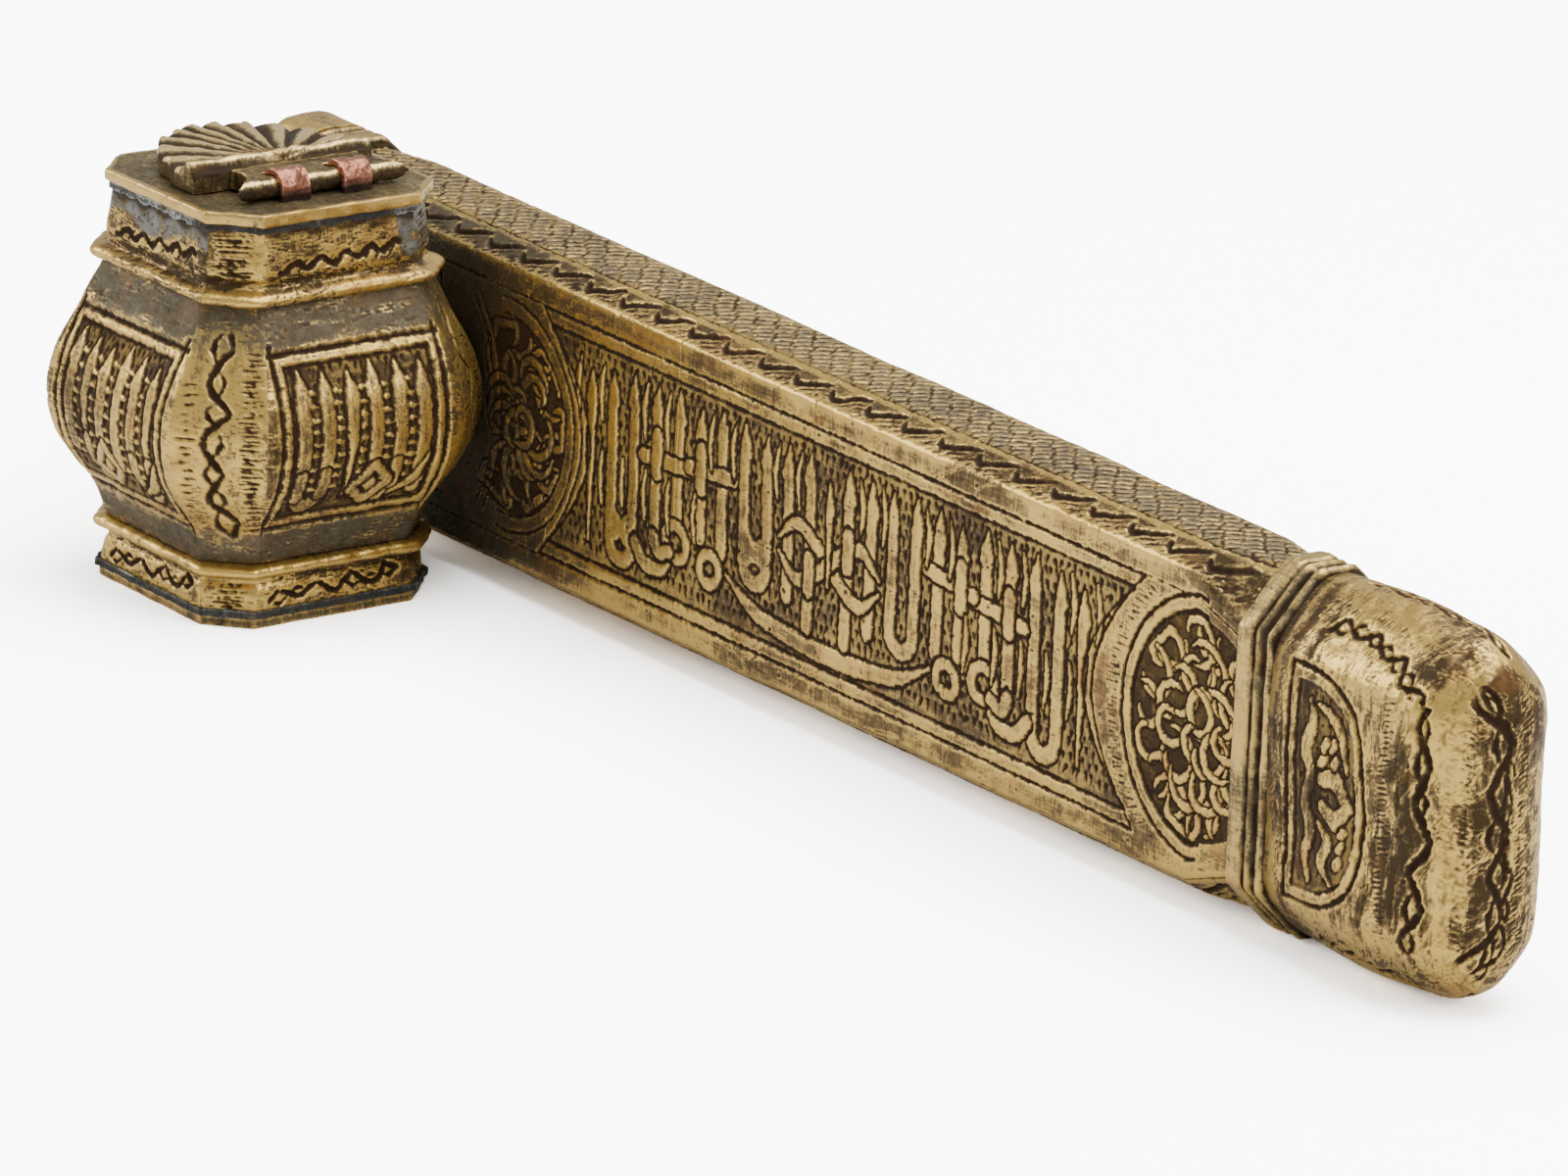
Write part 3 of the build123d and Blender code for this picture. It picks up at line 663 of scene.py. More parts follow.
class Nodes:
    """Short forms for building a material's nodes."""

    def __init__(self, name):
        self.material = bpy.data.materials.new(name)
        self.material.use_nodes = True
        self.tree = self.material.node_tree
        self.shader = self.tree.nodes["Principled BSDF"]

    def node(self, kind, **settings):
        """A new node with these settings."""
        n = self.tree.nodes.new(kind)
        for key, value in settings.items():
            setattr(n, key, value)
        return n

    def link(self, source, target):
        """Joins a socket to another, or sets the other to a number or a colour."""
        if isinstance(source, (int, float)):
            target.default_value = source
        elif isinstance(source, tuple):
            target.default_value = (*source, 1.0)[:4]
        else:
            self.tree.links.new(source, target)

    def math(self, operation, a, b=0.0, clamp=False):
        """One step of arithmetic on two values."""
        n = self.node("ShaderNodeMath", operation=operation, use_clamp=clamp)
        self.link(a, n.inputs[0])
        self.link(b, n.inputs[1])
        return n.outputs[0]

    def ramp(self, value, low, high):
        """0 at low, 1 at high and straight between."""
        n = self.node("ShaderNodeMapRange", clamp=True)
        n.inputs["From Min"].default_value, n.inputs["From Max"].default_value = low, high
        self.link(value, n.inputs["Value"])
        return n.outputs["Result"]

    def mix(self, share, a, b, kind="RGBA"):
        """A blend of two colours, or of two numbers with kind FLOAT."""
        n = self.node("ShaderNodeMix", data_type=kind)
        self.link(share, n.inputs["Factor"])
        self.link(a, n.inputs["A"])
        self.link(b, n.inputs["B"])
        return n.outputs["Result"]

    def weigh(self, total, *layers):
        """The total with each layer's value, times its weight, added in turn."""
        for value, weight in layers:
            total = self.math("ADD", total, self.math("MULTIPLY", value, weight))
        return total

    def noise(self, size, detail=4.0, rough=0.55, stretch=(1, 1, 1), shift=0.0):
        """Noise with features about size millimetres across."""
        at = self.node("ShaderNodeTexCoord").outputs["Object"]
        m = self.node("ShaderNodeMapping")
        m.inputs["Scale"].default_value = stretch
        m.inputs["Location"].default_value = (shift, shift * 0.7, shift * 1.3)
        self.link(at, m.inputs["Vector"])
        n = self.node("ShaderNodeTexNoise")
        n.inputs["Scale"].default_value = 1 / (size * MM)
        n.inputs["Detail"].default_value = detail
        n.inputs["Roughness"].default_value = rough
        self.link(m.outputs[0], n.inputs["Vector"])
        return n.outputs["Fac"]

    def attribute(self, name):
        """One of the mesh's own values: cut, rub or grey."""
        return self.node("ShaderNodeAttribute", attribute_type="GEOMETRY", attribute_name=name).outputs["Fac"]


BRIGHT = (0.7, 0.465, 0.12)
MIDDLE = (0.225, 0.15, 0.062)
DULL = (0.056, 0.036, 0.014)
GROOVE = (0.025, 0.011, 0.003)
GREY = (0.135, 0.118, 0.08)
LIGHT_GREY = (0.2, 0.195, 0.175)


def aged_metal(name, bright, middle, dull, groove=GROOVE, patina=0.5, metallic=0.9, rough=(0.3, 0.6),
               spread=1.0):
    """Rubbed metal under a brown patina: bright where worn, dark in the cuts, pitted and scratched."""
    n = Nodes(name)
    cut, rub, lead = n.attribute("cut"), n.attribute("rub"), n.attribute("grey")
    patches = n.noise(9.0, 5.0, 0.6)
    mottle = n.noise(1.6, 4.0, 0.6, shift=0.4)
    grain = n.noise(0.28, 3.0, 0.6, shift=0.9)
    streaks = n.weigh(0.0, (n.noise(0.35, 3.0, 0.6, (0.14, 1, 1), 0.2), 0.5),
                      (n.noise(0.35, 3.0, 0.6, (1, 1, 0.14), 0.6), 0.5))
    age = patina
    for layer, weight in ((patches, 1.0), (mottle, 0.8), (streaks, 1.7), (grain, 0.5)):
        age = n.weigh(age, (n.math("SUBTRACT", layer, 0.5), weight * spread))
    age = n.math("SUBTRACT", age, rub, clamp=True)
    colour = n.mix(n.ramp(age, 0.12, 0.5), bright, middle)
    colour = n.mix(n.ramp(age, 0.42, 0.92), colour, dull)
    # Brown patches, then grey metal, thin at first and light where there is much of it.
    warm = n.math("MULTIPLY", n.ramp(n.noise(5.0, 3.0, 0.5, shift=2.2), 0.55, 0.75), 0.5)
    colour = n.mix(warm, colour, tuple(a * b for a, b in zip(middle, (1.25, 0.82, 0.55))))
    thin = n.math("MULTIPLY", lead, n.ramp(n.weigh(mottle, (streaks, 0.8)), 0.6, 1.1))
    thick = n.math("MULTIPLY", n.ramp(lead, 1.0, 1.5), n.ramp(mottle, 0.4, 0.56))
    colour = n.mix(thick, n.mix(thin, colour, GREY), LIGHT_GREY)
    spots = n.node("ShaderNodeTexVoronoi", feature="F1")
    n.link(n.node("ShaderNodeTexCoord").outputs["Object"], spots.inputs["Vector"])
    spots.inputs["Scale"].default_value = 1 / (1.7 * MM)
    pit = n.math("MULTIPLY", n.ramp(spots.outputs["Distance"], 0.16, 0.07), n.ramp(patches, 0.5, 0.62))
    deep = n.math("MULTIPLY", cut, n.ramp(mottle, -0.3, 0.45))
    dark = n.math("MAXIMUM", deep, n.math("MULTIPLY", pit, 0.8))
    colour = n.mix(dark, colour, groove)
    n.link(colour, n.shader.inputs["Base Color"])
    worn = n.weigh(n.mix(age, *rough, "FLOAT"), (n.math("SUBTRACT", grain, 0.5), 0.22))
    n.link(n.math("MAXIMUM", worn, n.math("MULTIPLY", cut, 0.85)), n.shader.inputs["Roughness"])
    bare = n.mix(age, metallic, metallic * 0.72, "FLOAT")
    n.link(n.math("SUBTRACT", bare, n.math("MULTIPLY", dark, 0.7), clamp=True), n.shader.inputs["Metallic"])
    relief = n.weigh(0.0, (grain, 0.45), (mottle, 0.8), (streaks, 1.1), (pit, -1.2))
    bump = n.node("ShaderNodeBump")
    bump.inputs["Strength"].default_value = 0.55 * spread
    bump.inputs["Distance"].default_value = 0.09 * MM
    n.link(relief, bump.inputs["Height"])
    n.link(bump.outputs["Normal"], n.shader.inputs["Normal"])
    n.shader.inputs["Specular IOR Level"].default_value = 0.18
    return n.material


brass = aged_metal("engraved_brass", BRIGHT, MIDDLE, DULL, patina=0.42)
cast = aged_metal("cast_brass", (0.84, 0.61, 0.24), (0.23, 0.165, 0.07), (0.05, 0.036, 0.018), patina=0.6)
plain = aged_metal("plain_brass", (0.64, 0.43, 0.13), (0.2, 0.15, 0.068), (0.05, 0.04, 0.024), patina=0.55)
copper = aged_metal("copper", (0.54, 0.23, 0.14), (0.2, 0.072, 0.045), (0.045, 0.022, 0.015),
                    (0.008, 0.005, 0.004), patina=0.4, rough=(0.2, 0.42), spread=0.5)
solder = aged_metal("solder", (0.36, 0.36, 0.34), (0.11, 0.11, 0.1), (0.04, 0.04, 0.036),
                    (0.025, 0.022, 0.018), metallic=0.75, rough=(0.4, 0.65))


# ---- The case tube --------------------------------------------------------------------------


def case_point(x, a, b):
    """World places for section coordinates a (across) and b (up) at places along the case."""
    x = np.broadcast_to(np.asarray(x, float)[:, None], a.shape)
    return np.stack([x, AXIS_Y + a, axis_z(x) + b], -1)


def section(weights, corners):
    """Places round each section, blended from its eight corners."""
    return np.einsum("jk,nkc->njc", weights, corners)


def dress(p, sampled, wear, spacing, beaten=0.05, fine=0.018, edge_rub=0.55, base_rub=0.0, grey=0.0,
          shade=0.0):
    """Applies a drawing and hand-beaten unevenness to a base surface. Returns places and attributes."""
    height, cut, rub = sampled
    n = normals_of(p)
    uneven = beaten * smooth_noise(height.shape, spacing, 9.0)
    uneven = uneven + fine * smooth_noise(height.shape, spacing, 1.6)
    patch = smooth_noise(height.shape, spacing, 7.0)
    cells = max(int(0.55 / spacing[0]), 1)
    proud = np.clip((height - blur(height, cells)) * 3.2, -0.25, 0.5)
    edge = wear * edge_rub * np.clip(0.75 + 0.45 * patch, 0, 1.4)
    chips = wear * flecks(height.shape, spacing, 1.2, 1.1) * 0.12
    total = rub + proud + edge + base_rub + 0.1 * patch - shade
    out = p + n * (height + uneven * (1 - 0.5 * wear) - chips)[..., None]
    return out, {"cut": cut, "rub": total, "grey": np.broadcast_to(grey, cut.shape).copy()}


def no_drawing(shape):
    """Height, cut and rub of a plain surface."""
    return [np.zeros(shape) for _ in range(3)]


def lay(fields, cols, face, u, v):
    """Puts a drawing on some columns of a section."""
    for f, g in zip(fields, face.sample(*np.broadcast_arrays(u, v))):
        f[:, cols] = g


def flecks(shape, spacing, size, threshold):
    """Scattered flecks about size across, 0 to 1."""
    return np.clip(smooth_noise(shape, spacing, size) - threshold, 0, 1)


def bell(x, centre, width):
    """1 at the centre, falling to 0 within about twice the width."""
    return np.exp(-((x - centre) / width) ** 2)


# The tube's drawings: their two ends along the case, and how wide the broad and the narrow sides are drawn.
DRAWN = (-100.2, 81.2)
BROAD = 34.6
NARROW = 8.0
front = Face(*DRAWN, -17.7, 17.7)
draw_front(front)
edges = Face(*DRAWN, -2.3, 2.3)
draw_edge_strokes(edges)
weave = Face(*DRAWN, -4.1, 4.1)
draw_weave(weave)
under = Face(*DRAWN, -4.1, 4.1, 0.2)
under.scratches(160, (3.0, 14.0), (0.0, 10.0))
under.rub -= 0.1

counts = [220, 24, 44, 24, 140, 18, 16, 20]
slant = math.hypot(CUT_Y, CUT_Z)
tube_lengths = [2 * (HALF_Z - CUT_Z), slant, 2 * (HALF_Y - CUT_Y), slant] * 2
weights, face_of, share_of = ring_weights(counts, tube_lengths, 0.4)
seen_stations = np.arange(MOUTH_RING_RIGHT - 0.3, RING_LEFT + 0.3, 0.18)
stations = np.concatenate([[MOUTH_X, MOUTH_RING_RIGHT - 0.6], seen_stations, [RING_LEFT + 0.6, RING_X]])


def tube_corners(x, inset=0.0):
    """The tube's octagons: narrow cuts along the panels, blending to wide ones at both collars."""
    s = scale_at(x)
    near = np.clip(np.minimum(x - MOUTH_RING_RIGHT, RING_LEFT - x) / BLEND, 0, 1)
    cut_y = END_CUT + (CUT_Y - END_CUT) * near
    cut_z = END_CUT + (CUT_Z - END_CUT) * near
    shrink = inset * 0.586
    return octagon_corners(HALF_Y * s - inset, HALF_Z * s - inset, cut_y - shrink, cut_z - shrink)


ab = section(weights, tube_corners(stations))
tube_base = case_point(stations, ab[..., 0], ab[..., 1])
shape = tube_base.shape[:2]
fields = no_drawing(shape)
drawings = ((front, 1, BROAD), (edges, 1, slant), (weave, 1, NARROW), (edges, -1, slant),
            (front, -1, BROAD), (edges, -1, slant), (under, 1, NARROW), (edges, 1, slant))
for k, (face, way, span) in enumerate(drawings):
    cols = np.flatnonzero(face_of == k)
    lay(fields, cols, face, stations[:, None], way * (share_of[cols] - 0.5) * span)
wear = np.broadcast_to(edge_wear(face_of, share_of, tube_lengths, 0.8), shape)
# The side by the inkwell carries painted shade of the inkwell, darkening and greying towards the mouth; the
# sides and the top are a little darker all along, and the top is grey all along.
far = np.clip((-38 - stations) / 26, 0, 1)[:, None]
is_top = np.isin(face_of, (2,))[None, :]
is_side = np.isin(face_of, (0, 1))[None, :]
tube_p, tube_a = dress(
    tube_base, fields, wear, (0.18, 0.17), beaten=0.06, shade=(0.55 * far + 0.06) * is_side + 0.02 * is_top,
    grey=(0.75 * is_top + 0.7 * far * is_side) * np.ones(shape))
inner_ab = section(weights, tube_corners(stations, 1.1))
tube_inner = case_point(stations, inner_ab[..., 0], inner_ab[..., 1])
inner_attributes = {"cut": 0.45, "rub": -0.35, "grey": 0.2}
TUBE_PIECES = 7
cuts_at = np.linspace(0, len(stations) - 1, TUBE_PIECES + 1).astype(int)
for k, (first, last) in enumerate(zip(cuts_at[:-1], cuts_at[1:])):
    rows = slice(first, last + 1)
    points, quads, flat = closed_ring(tube_p[rows], tube_inner[[first, last]])
    attributes = {key: np.concatenate([a[rows].ravel(), np.full(2 * shape[1], inner_attributes[key])])
                  for key, a in tube_a.items()}
    make_mesh(f"case_wall_{k + 1}", points, quads, flat, attributes, "case", brass,
              "case_tube")


def finish_grid(name, outer, inner, attributes, body, material, node, inner_values=(0.5, -0.35, 0.2)):
    """A closed piece from a dressed outer grid and a plain inner one, standing for a CAD node."""
    points, quads, flat = closed_ring(outer, inner)
    extra = inner.shape[0] * inner.shape[1]
    full = {key: np.concatenate([attributes[key].ravel(), np.full(extra, value)])
            for key, value in zip(("cut", "rub", "grey"), inner_values)}
    make_mesh(name, points, quads, flat, full, body, material, node)


# ---- Collars ---------------------------------------------------------------------------------

collar_counts = [150, 40, 34, 40, 110, 30, 26, 30]
# Places along a collar and how far it is drawn in there: a wide rib, a seam, a lip, a groove and a thin rib.
COLLAR_PROFILE = [
    (0, 0.6), (0.12, 0.4), (0.5, 0.12), (1.6, 0.0), (2.5, 0.08), (2.9, 0.34), (3.1, 0.5), (3.35, 0.24),
    (3.8, 0.1), (4.15, 0.4), (4.5, 0.7), (4.9, 0.72), (5.1, 0.5), (5.4, 0.14), (5.8, 0.06), (6.2, 0.3),
    (6.4, 0.6)]


def side_lengths(half_y, half_z):
    """The eight sides of an end piece's section, from the -Y one."""
    slope = COLLAR_CUT * 1.414
    return [2 * (half_z - COLLAR_CUT), slope, 2 * (half_y - COLLAR_CUT), slope] * 2


def collar(name, node, x_left, x_right, scale):
    """A band with two rounded ribs, ragged at its outer edge, and a dark seam beside each."""
    half_y, half_z = HALF_Y * scale + COLLAR_PROUD, HALF_Z * scale + COLLAR_PROUD
    length = x_right - x_left
    u = np.arange(0, length + 0.001, 0.1)
    near = u if x_left > 0 else u[::-1]
    at, inset = np.array(COLLAR_PROFILE).T
    inset = np.interp(near, at * length / at[-1], inset)
    lengths = side_lengths(half_y, half_z)
    w, faces, shares = ring_weights(collar_counts, lengths, 0.5)
    corner_cut = COLLAR_CUT - inset * 0.6
    ab = section(w, octagon_corners(half_y - inset, half_z - inset, corner_cut, corner_cut))
    p = case_point(x_left + u, ab[..., 0], ab[..., 1])
    shape = p.shape[:2]
    ragged = smooth_noise(shape, (0.1, 0.24), 1.3)
    height = -0.12 * np.clip(ragged, 0, 2) * np.clip((near - (length - 1.3)) / 1.3, 0, 1)[:, None]
    seam = np.clip(2.4 * (inset - 0.22) + 0.9 * bell(near, 3.05, 0.22), 0, 1)[:, None]
    cut = np.clip(seam * (1 + 0.3 * ragged), 0, 1)
    rub = np.broadcast_to((0.4 - 1.2 * inset)[:, None], shape)
    wear = np.broadcast_to(edge_wear(faces, shares, lengths, 1.2), shape)
    out, attributes = dress(p, (height, cut, rub), wear, (0.1, 0.24), 0.06, 0.025, 0.3,
                            grey=0.2 * np.isin(faces, (1, 2, 3))[None, :] * np.ones(shape))
    x_pair = np.array([x_left, x_right])
    s = scale_at(x_pair)
    ab = section(w, octagon_corners(HALF_Y * s + 0.02, HALF_Z * s + 0.02, END_CUT, END_CUT))
    inner = case_point(x_pair, ab[..., 0], ab[..., 1])
    finish_grid(name, out, inner, attributes, "case", plain, node)


collar("ring_near", "near_collar", near_low[0], near_high[0], 1.0)
collar("ring_mouth", "mouth_collar", mouth_low[0], mouth_high[0], GROWTH)


# ---- Near end cap ----------------------------------------------------------------------------

CAP_HALF_Y = NEAR_HALF_Y - 0.3
CAP_HALF_Z = NEAR_HALF_Z - 0.5
CAP_LENGTH = cap_high[0] - cap_low[0]


def end_profile(length, radius, swell, last_angle, flat_to, step=0.2):
    """Along an end piece: distance from its rim, draw-in of its outline, and length along the surface."""
    straight = length - radius
    u = np.arange(0, straight, step)
    inset = -swell * np.sin(np.pi * u / straight)
    a = np.radians(np.arange(0, last_angle, math.degrees(step / radius)))
    over = radius * math.sin(math.radians(last_angle))
    u = np.concatenate([u, straight + radius * np.sin(a) * radius / over])
    inset = np.concatenate([inset, radius * (1 - np.cos(a))])
    more = np.arange(inset[-1] + step, flat_to, step)
    inset = np.concatenate([inset, more])
    u = np.concatenate([u, np.full(len(more), length)])
    along = np.concatenate([[0], np.cumsum(np.hypot(np.diff(u), np.diff(inset)))])
    return u, inset, along


cap_face = Face(-1, 40, -21, 21)
cap_end = Face(-9.5, 9.5, -21.5, 21.5)
# Cartouche: a flat side by the ring and a rounded one towards the end, drawn double.
for inset, width in ((0.0, 0.85), (1.5, 0.6)):
    line = curve([
        (3.4 + inset, 13.2 - inset * 1.3), (9.6, 12.6 - inset * 1.2), (14.2 - inset * 0.8, 9.4 - inset * 0.6),
        (16.2 - inset, 3.0), (16.4 - inset, -3.0), (14.8 - inset * 0.9, -9.0 + inset * 0.5),
        (10.4, -12.4 + inset * 1.1), (3.4 + inset, -13.4 + inset * 1.3)], 8)
    cap_face.groove(np.vstack([line, line[:1]]), width, 0.36)
gu, gv = cap_face.grids()
inside = (gu > 5.0) & ((((gu - 5.0) / 9.8) ** 2 + (gv / 11.6) ** 4) < 1)
cap_face.ground(inside, -0.14, 0.68)
cap_face.punches(lambda a, b: 5.6 < a and ((a - 5.0) / 9.0) ** 2 + (b / 11.0) ** 4 < 1, (1.3, 1.5), 1.0, 0.75)
v = np.linspace(9.6, -10.2, 24)
spine = np.stack([7.2 + 0.5 * np.sin(v * 1.05), v], 1)
cap_face.strap(spine, (0.3, 1.5, 1.7, 1.3, 1.7, 1.3, 0.4), outline=0.5)
cap_face.strap(curve([(8.2, 9.4), (10.4, 8.6), (12.4, 6.6), (13.6, 3.4)]), (0.3, 1.2, 1.2, 0.3), outline=0.45)
hook = [(9.8, 1.6), (11.6, 2.2), (14.0, -0.4), (11.8, -2.6), (9.8, -1.4)]
cap_face.strap(hook, (1.6, 2.2, 1.2, 2.0, 1.4), outline=0.5)
cap_face.strap(curve([(9.0, -3.2), (10.6, -5.2), (9.8, -7.6), (11.6, -9.6)]), (0.3, 1.5, 1.3, 0.3),
               outline=0.45)
for a, b in ((11.0, 5.6), (11.6, 3.9), (13.0, -3.6), (12.8, -5.2), (12.4, -7.0), (9.6, 3.6), (9.8, 5.4)):
    cap_face.strap([(a - 0.2, b - 0.35), (a + 0.2, b + 0.35)], 1.0, outline=0.4)
# The chain down the corner between the broad side and the end.
corner_line = [(22.6, 16.8), (24.2, 13.0), (24.6, 6.0), (24.8, -2.0),
               (24.2, -9.0), (23.4, -14.0), (21.6, -18.6)]
chain(cap_face, corner_line, 1.25, 9, 1.15, 0.5)
for row in (((19.4, 13.0), (19.4, -14.0), 44, 2.4, 14, 0.3, 0.12, 0.75),
            ((27.6, 14.0), (27.6, -14.0), 36, 1.6, -30, 0.26, 0.1, 0.6),
            ((4.4, -15.0), (22.0, -16.0), 22, 2.2, 62, 0.3, 0.12, 0.7),
            ((4.4, 14.8), (20.0, 15.2), 20, 2.2, 70, 0.3, 0.12, 0.7)):
    cap_face.ticks(*row)
cap_face.scratches(520, (1.0, 5.0), (78.0, 24.0), 0.55, 0.04)
cap_face.pits(60, (0.1, 0.22))
end_line = [(-7.5, 19.6), (-4.0, 16.2), (-1.6, 10.0), (-1.8, 2.0),
            (-1.0, -6.0), (-2.0, -11.5), (-4.6, -16.0), (-7.0, -19.0)]
chain(cap_end, end_line, 1.5, 9, 1.15, 0.5)
chain(cap_end, [(a + 1.2, b - 1.5) for a, b in end_line], 0.8, 11, 0.75, 0.36)
cap_end.scratches(520, (0.8, 3.6), (25.0, 30.0), 0.55, 0.04)
cap_end.ticks((1.6, 16.0), (1.4, -16.0), 46, 2.0, 32, 0.3, 0.12, 0.7)
cap_end.ticks((-5.0, 15.0), (-5.4, -14.0), 40, 1.5, -28, 0.26, 0.1, 0.65)
cap_end.ticks((5.6, 16.0), (5.6, -16.0), 36, 1.8, 60, 0.24, 0.1, 0.6)
cap_end.pits(60, (0.1, 0.22))
cap_slant = Face(-1, 40, -4.6, 4.6)
chain(cap_slant, [(6.2, -0.6), (10.0, 0.2), (14.0, -0.4), (18.0, -1.6), (21.6, -3.6), (23.4, -5.4)],
      1.0, 7, 1.0, 0.45)
cap_slant.scratches(300, (0.8, 4.0), (60.0, 30.0), 0.6, 0.04)
cap_slant.ticks((4.0, 2.2), (22.0, 1.8), 30, 2.6, 62, 0.3, 0.14, 0.8)
cap_top = Face(-1, 40, -2.6, 2.6)
chain(cap_top, [(5.0, 0.2), (12.0, 0.4), (20.0, 1.0), (27.0, 1.4)], 0.7, 6, 0.85, 0.38)
cap_top.scratches(160, (0.8, 4.0), (40.0, 30.0), 0.42, 0.025)

cap_counts = [160, 44, 24, 44, 160, 30, 16, 30]


def end_corners(half_y, half_z, inset):
    """An end piece's octagons. Past the flat end's edge they close on its middle line."""
    a = np.maximum(half_y - inset, 0.02)
    cut = COLLAR_CUT * a / half_y
    return octagon_corners(a, np.maximum(half_z - inset, 0.5), cut, cut)


u, inset, along = end_profile(CAP_LENGTH, 8.0, 0.5, 80, CAP_HALF_Y - 0.05)
cap_lengths = side_lengths(CAP_HALF_Y, CAP_HALF_Z)
w, faces, shares = ring_weights(cap_counts, cap_lengths, 1.9)
ab = section(w, end_corners(CAP_HALF_Y, CAP_HALF_Z, inset))
p = case_point(cap_low[0] + u, ab[..., 0], ab[..., 1])
shape = p.shape[:2]
n = normals_of(p)
fields = no_drawing(shape)
drawings = ((cap_face, 1), (cap_slant, 1), (cap_top, 1), (cap_slant, -1),
            (cap_face, -1), (cap_slant, -1), (cap_top, 1), (cap_slant, 1))
for k, (face, way) in enumerate(drawings):
    cols = np.flatnonzero(faces == k)
    lay(fields, cols, face, along[:, None], way * (shares[cols] - 0.5) * cap_lengths[k])
on_end = np.clip((n[..., 0] - 0.62) / 0.16, 0, 1)
got = cap_end.sample(ab[..., 0], ab[..., 1])
fields = [f * (1 - on_end) + g * on_end for f, g in zip(fields, got)]
wear = edge_wear(faces, shares, cap_lengths, 2.2)[None, :] * (1 - on_end)
wear = wear + 0.9 * bell(inset, 2.5, 1.8)[:, None]
# Dark: before the turn to the end, in streaks, over the end and most along its middle, by the ring and on
# top. Lighter along the turn itself: a painted highlight.
streaks = 0.16 * smooth_noise(shape, (0.2, 0.03), 0.6) + 0.16 * smooth_noise(shape, (0.2, 0.05), 1.5)
bands = (0.5 * bell(along, 22.6, 3.6) - 0.45 * bell(along, 27.8, 1.1) + 0.2 * bell(along, 2.0, 2.4))[:, None]
bands = bands + streaks * (1 - 0.2 * on_end) + on_end * (0.24 + 0.42 * bell(ab[..., 0], -1.2, 3.2))
bands = bands + 0.16 * np.isin(faces, (1, 2, 3))[None, :]
cap_p, cap_a = dress(p, fields, np.clip(wear, 0, 1), (0.2, 0.2), 0.13, 0.045, 0.42,
                     base_rub=-0.06, shade=bands)
hatch = flecks(shape, (0.45, 0.16), 0.7, 0.9)
cap_a["cut"] = np.maximum(cap_a["cut"], 0.6 * hatch)
cap_a["cut"] = np.maximum(cap_a["cut"], 0.75 * (bell(u, 0, 2.0) * (u < 2.4))[:, None])
CAP_WALL = 1.3
ui, inset_i, _ = end_profile(CAP_LENGTH - CAP_WALL, 8.0, 0.5, 80, CAP_HALF_Y - CAP_WALL, 2.0)
ab = section(w, end_corners(CAP_HALF_Y, CAP_HALF_Z, np.minimum(inset_i + CAP_WALL, CAP_HALF_Y - 0.05)))
cap_inner = case_point(cap_low[0] + ui, ab[..., 0], ab[..., 1])


def finish_cup(name, grids, counts, body, material, node, inner_values=(0.5, -0.35, 0.2)):
    """A closed cup from two grids, one outside and one inside, each ending on a short middle line.
    Their rows run so that together they go from the one end, over the rim, to the other."""
    p = np.concatenate([g for g, _ in grids])
    n, m = p.shape[:2]
    index = np.arange(n * m).reshape(n, m)
    a, b = index[:-1], index[1:]
    quads = np.stack([a, b, np.roll(b, -1, 1), np.roll(a, -1, 1)], -1).reshape(-1, 4)
    flat = np.zeros((n - 1, m), bool)
    flat[len(grids[0][0]) - 1] = True
    turn = sum(counts[:5])
    caps = []
    for row, way in ((0, -1), (n - 1, 1)):
        for j in range(-(m - turn) // 2 + 1, turn // 2 - 1):
            q = [index[row][k % m] for k in (j, turn - j, turn - j - 1, j + 1)]
            caps.append(q if way > 0 else q[::-1])
    quads = np.concatenate([quads, np.array(caps)])
    flat = np.concatenate([flat.ravel(), np.zeros(len(caps), bool)])
    full = {}
    for key, value in zip(("cut", "rub", "grey"), inner_values):
        full[key] = np.concatenate([
            np.full(g.shape[0] * m, value) if attributes is None else attributes[key].ravel()
            for g, attributes in grids])
    make_mesh(name, p.reshape(-1, 3), quads, flat, full, body, material, node)


finish_cup("end_cap_shell", [(cap_inner[::-1], None), (cap_p, cap_a)], cap_counts, "case", brass,
           "near_end_cap")


# ---- Mouth lid -------------------------------------------------------------------------------

LID_HALF_Y = HALF_Y * GROWTH + COLLAR_PROUD
LID_HALF_Z = HALF_Z * GROWTH + COLLAR_PROUD
LID_LENGTH = lid_high[0] - lid_low[0]
lid_counts = [120, 36, 24, 36, 120, 24, 14, 24]
lid_face = Face(-1, 24, -23, 23, 0.15)
lid_face.groove([(2.0, -15), (2.0, 15)], 0.45, 0.22)
# A dot with one short stroke, in the middle of the chain.
wavy(lid_face, (4.4, 0), (4.4, 0.01), 1, 0.0)
chain(lid_face, [(4.6, -14.0), (4.2, 0.0), (4.6, 14.0)], 0.6, 10, 0.4, 0.26)
lid_face.scratches(240, (1.0, 5.0), (80.0, 24.0), 0.4, 0.025)
lid_end = Face(-10, 10, -24, 24, 0.15)
for inset in (0.0, 1.3):
    a, b = 4.6 - inset, 13 - inset
    lid_end.groove([(-a, -b), (-a, b), (a, b), (a, -b), (-a, -b)], 0.42, 0.22)
wavy(lid_end, (-2.4, 0.0), (2.4, 0.0), 1, 0.6)
for v in np.arange(-10.5, 10.6, 2.1):
    leaf(lid_end, [(-2.4, v - 0.6), (0.0, v + 0.5), (2.4, v - 0.6)], 0.9)
lid_end.scratches(260, (0.8, 4.0), (30.0, 40.0), 0.4, 0.025)
lid_end.pits(50)


def lid_point(x, ab):
    """A section's places on the mouth lid."""
    return np.stack([np.broadcast_to(x[:, None], ab.shape[:2]), AXIS_Y + ab[..., 0],
                     (lid_low[2] + lid_high[2]) / 2 + ab[..., 1]], -1)


